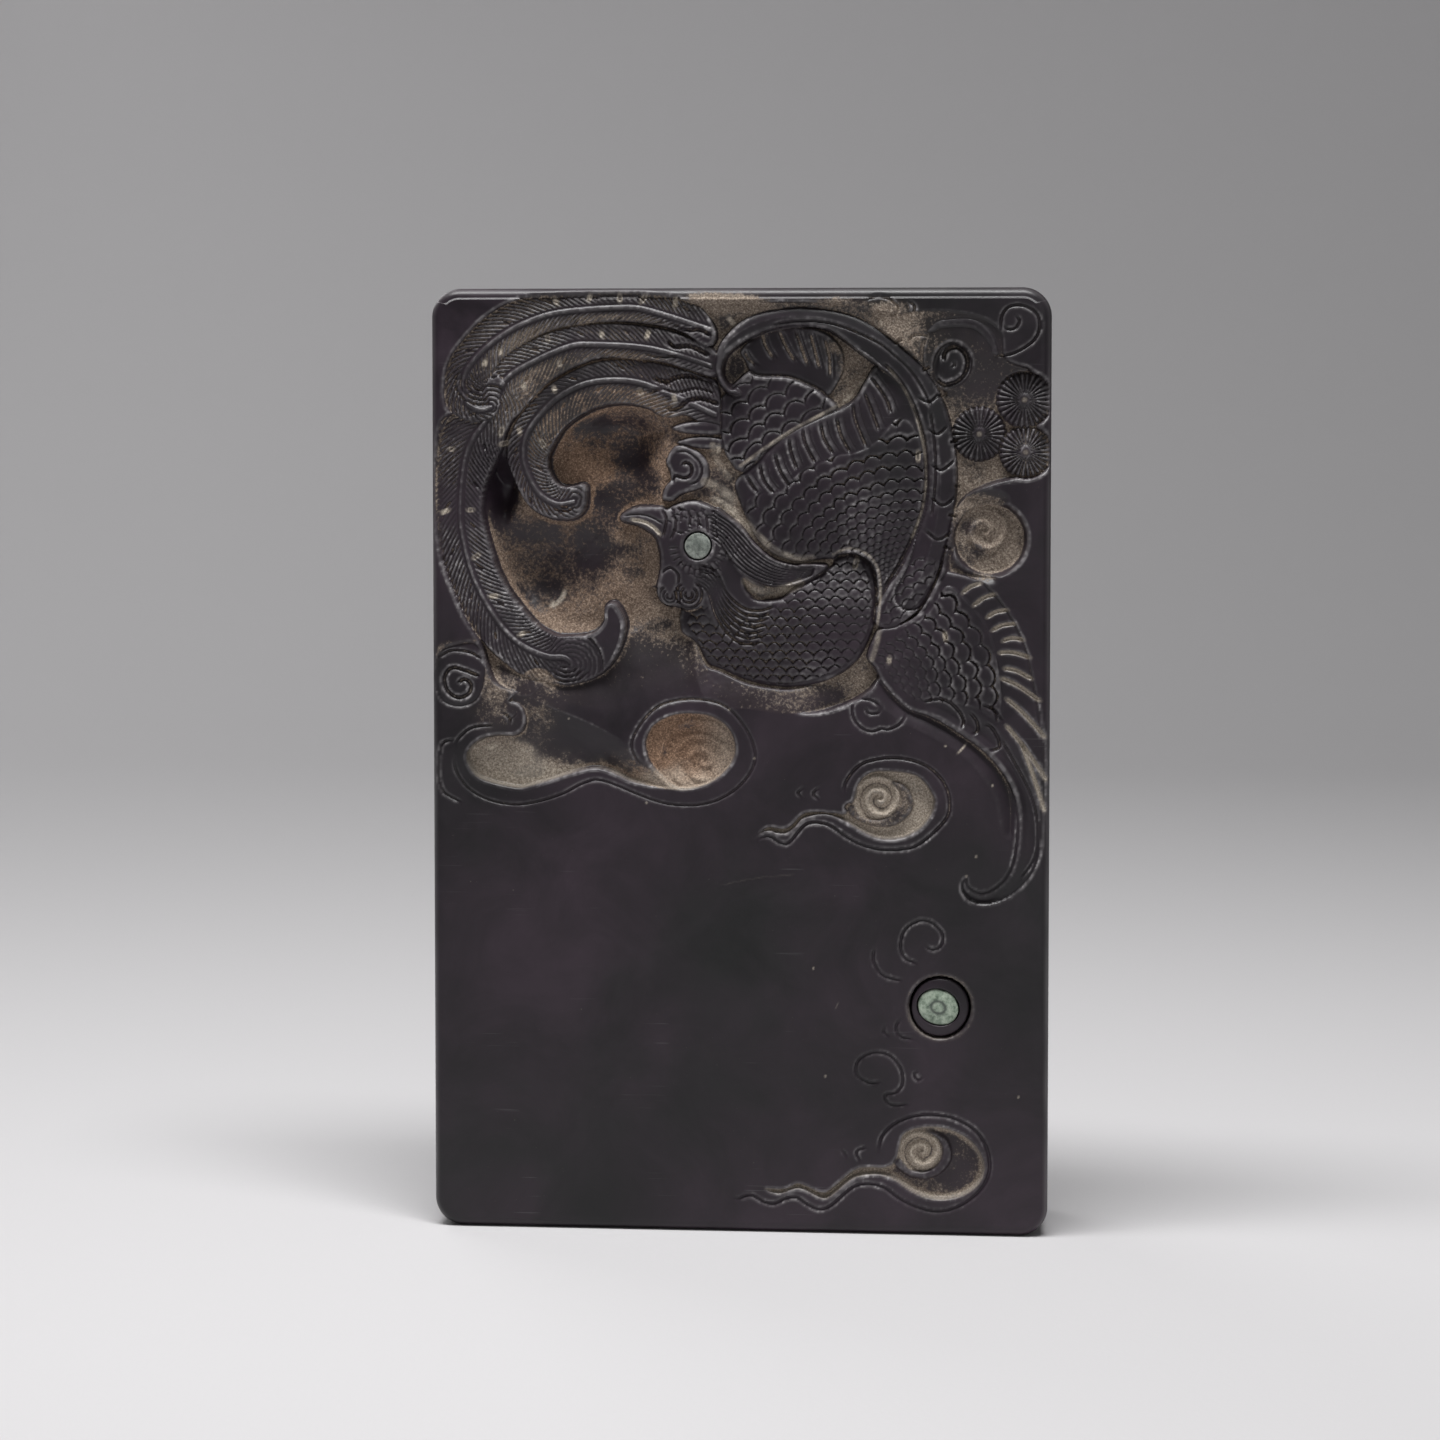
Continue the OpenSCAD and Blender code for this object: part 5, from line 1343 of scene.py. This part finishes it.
def ringed(name, rings, hub_front, hub_back, marks):
    """Closed piece from rings of points with a hub at each end, and a mark kept for each ring"""
    index = np.arange(len(rings) * SPOKE_COUNT).reshape(len(rings), SPOKE_COUNT)
    here, beyond = index[:-1], index[1:]
    quads = np.stack([beyond, np.roll(beyond, -1, 1), np.roll(here, -1, 1), here], -1).reshape(-1, 4)
    hub = np.full(SPOKE_COUNT, index.size)
    front = np.stack([index[0], np.roll(index[0], -1), hub], 1)
    back = np.stack([np.roll(index[-1], -1), index[-1], hub + 1], 1)
    points = np.vstack(rings + [[hub_front, hub_back]])
    values = np.concatenate([np.repeat(marks, SPOKE_COUNT), [marks[0], 0]])
    return mesh_piece(name, points, quads, np.vstack([front, back]), {"ring": values})


def plug(name, oval_shape, top, bottom, bulge, ring, seed):
    """Inlay with a domed top and a soft uneven rim, and a mark by the share of its radius"""
    x, z, rx, rz, tilt = oval_shape
    random = np.random.default_rng(seed)
    bumps = sum(random.uniform(-1, 1) * np.cos(k * SPOKES + random.uniform(0, 6)) / k for k in range(2, 9))
    uneven, rim, side = 0.05, 0.25, 0.6
    outline = uneven * (bumps - bumps.max()) / np.ptp(bumps)
    shares = [*np.linspace(0.04, 0.9, 22), 0.94, 0.97, 0.99, 1.0]
    rings = []
    for share in shares:
        drop = bulge * share ** 2 + rim * (1 - math.sqrt(1 - max((share - 0.9) / 0.1, 0) ** 2))
        r = share * (1 + outline * share)
        rings.append(oval((x, z), rx * r, rz * r, tilt, top + drop))
    for below in (top + bulge + rim + side, bottom):
        rings.append(rings[-1] * (1, 0, 1) + (0, FACE_Y + below, 0))
    marks = [ring(share) for share in shares] + [0, 0]
    return ringed(name, rings, (x, FACE_Y + top, z), (x, FACE_Y + bottom, z), marks)


def build_bead():
    """Dark domed bead with an oval seat for its green eye"""
    x, z, r = BEAD
    eye_x, eye_z, eye_rx, eye_rz, tilt = BEAD_EYE
    gap, top, dome, lip, turn = 0.12, 0.12, 0.25, 0.12, 0.3
    seat = oval((eye_x, eye_z), eye_rx + gap, eye_rz + gap, tilt, 0)
    outer = oval((x, z), r - 0.2, r - 0.05, tilt, 0)
    rings = [seat + (0, BEAD_SEAT_DEPTH, 0)]
    for t in np.linspace(0, 1, 14):
        below = top + dome * t ** 2 + lip * (t == 0) + turn * max((t - 0.75) / 0.25, 0) ** 2
        rings.append(seat * (1 - t) + outer * t + (0, below, 0))
    rings += [outer + (0, 2.4, 0), outer + (0, BEAD_FOOT_DEPTH, 0)]
    seat_hub = (eye_x, FACE_Y + BEAD_SEAT_DEPTH, eye_z)
    foot_hub = (x, FACE_Y + BEAD_FOOT_DEPTH, z)
    return ringed("dark_bead", rings, seat_hub, foot_hub, [0] * len(rings))


def bird_eye_mark(share):
    """Dark middle of the bird's eye"""
    return 0.45 * float(smooth((0.7 - share) / 0.5))


def bead_eye_mark(share):
    """Dark ring in the bead's eye"""
    return 0.9 * math.exp(-((share - 0.34) / 0.09) ** 2)


def place(piece, nodes, slot, look):
    """Seats a piece on the slab in the place of its CAD nodes"""
    piece.data.materials.append(look)
    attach(piece, "root")
    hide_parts(*nodes)


carve()
stone_look = stone_material()
place(build_stone(), ["stone_body"], "stone", stone_look)
place(build_bead(), ["pearl_bead"], "bead", stone_look)
grey_green = green_material(
    "grey_green", 1300.0,
    (0.36, (0.1, 0.112, 0.102)), (0.5, (0.225, 0.248, 0.222)), (0.64, (0.35, 0.38, 0.34)))
pale_green = green_material(
    "pale_green", 860.0,
    (0.36, (0.12, 0.165, 0.12)), (0.5, (0.29, 0.36, 0.28)), (0.64, (0.45, 0.52, 0.42)))
bird_eye = plug("bird_eye", (*EYE, EYE[2], 0), top=0.55, bottom=2.6, bulge=0.2, ring=bird_eye_mark, seed=3)
place(bird_eye, ["phoenix_eye"], "eye_green", grey_green)
bead_eye = plug("bead_eye", BEAD_EYE, top=0.05, bottom=2.3, bulge=0.3, ring=bead_eye_mark, seed=8)
place(bead_eye, ["pearl_eye"], "eye_green", pale_green)


def stage():
    """Pale floor that runs up into a backdrop"""
    look = Look("pale_floor")
    grain = look.noise(900.0, 2.0)
    profile = [(-8.0, 0), (0.9, 0)]
    profile += [(0.9 + 0.5 * math.sin(a), 0.5 - 0.5 * math.cos(a)) for a in np.radians(np.arange(10, 91, 10))]
    profile.append((1.4, 3.0))
    points = np.array([(x, y, h) for y, h in profile for x in (-8.0, 8.0)]) / MM
    quads = np.array([(2 * k, 2 * k + 1, 2 * k + 3, 2 * k + 2) for k in range(len(profile) - 1)])
    floor = mesh_piece("floor", points, quads, np.zeros((0, 3), int), {})
    pale = look.surface(grain, 0.12, 0.0004, Base_Color=(0.62, 0.61, 0.62), Roughness=0.9)
    floor.data.materials.append(pale)


def aim(item, place_at, target):
    """Puts an object at a place and turns its -Z axis to a target"""
    item.location = place_at
    item.rotation_euler = (Vector(target) - Vector(place_at)).to_track_quat("-Z", "Y").to_euler()


def lamp(name, place_at, target, size, power):
    """Rectangular lamp aimed at a target"""
    light = bpy.data.lights.new(name, "AREA")
    light.shape = "RECTANGLE"
    light.size, light.size_y = size
    light.energy = power
    item = bpy.data.objects.new(name, light)
    bpy.context.scene.collection.objects.link(item)
    aim(item, place_at, target)


def light_and_camera():
    """Key light from above, two fills, a faint white world and the camera"""
    middle = (0, 0, 0.1)
    lamp("key", (-0.04, -0.2, 0.85), (0, -0.02, 0.12), (0.7, 0.2), 9.0)
    lamp("front_fill", (0.7, -1.5, 0.6), middle, (1.2, 1.0), 1.6)
    lamp("back_fill", (-0.8, 1.0, 0.9), middle, (0.8, 0.8), 4.0)
    world = bpy.data.worlds.new("studio")
    world.use_nodes = True
    background = world.node_tree.nodes["Background"]
    background.inputs["Color"].default_value = (1, 1, 1, 1)
    background.inputs["Strength"].default_value = 0.11
    bpy.context.scene.world = world
    data = bpy.data.cameras.new("camera")
    data.lens = 85.0
    data.sensor_width = 36.0
    data.shift_y = -0.0945
    camera = bpy.data.objects.new("camera", data)
    bpy.context.scene.collection.objects.link(camera)
    aim(camera, (0.0542, -0.7119, 0.1716), (-0.0039, -0.014, 0.1351))
    bpy.context.scene.camera = camera
    bpy.context.scene.view_settings.view_transform = "Standard"


stage()
light_and_camera()
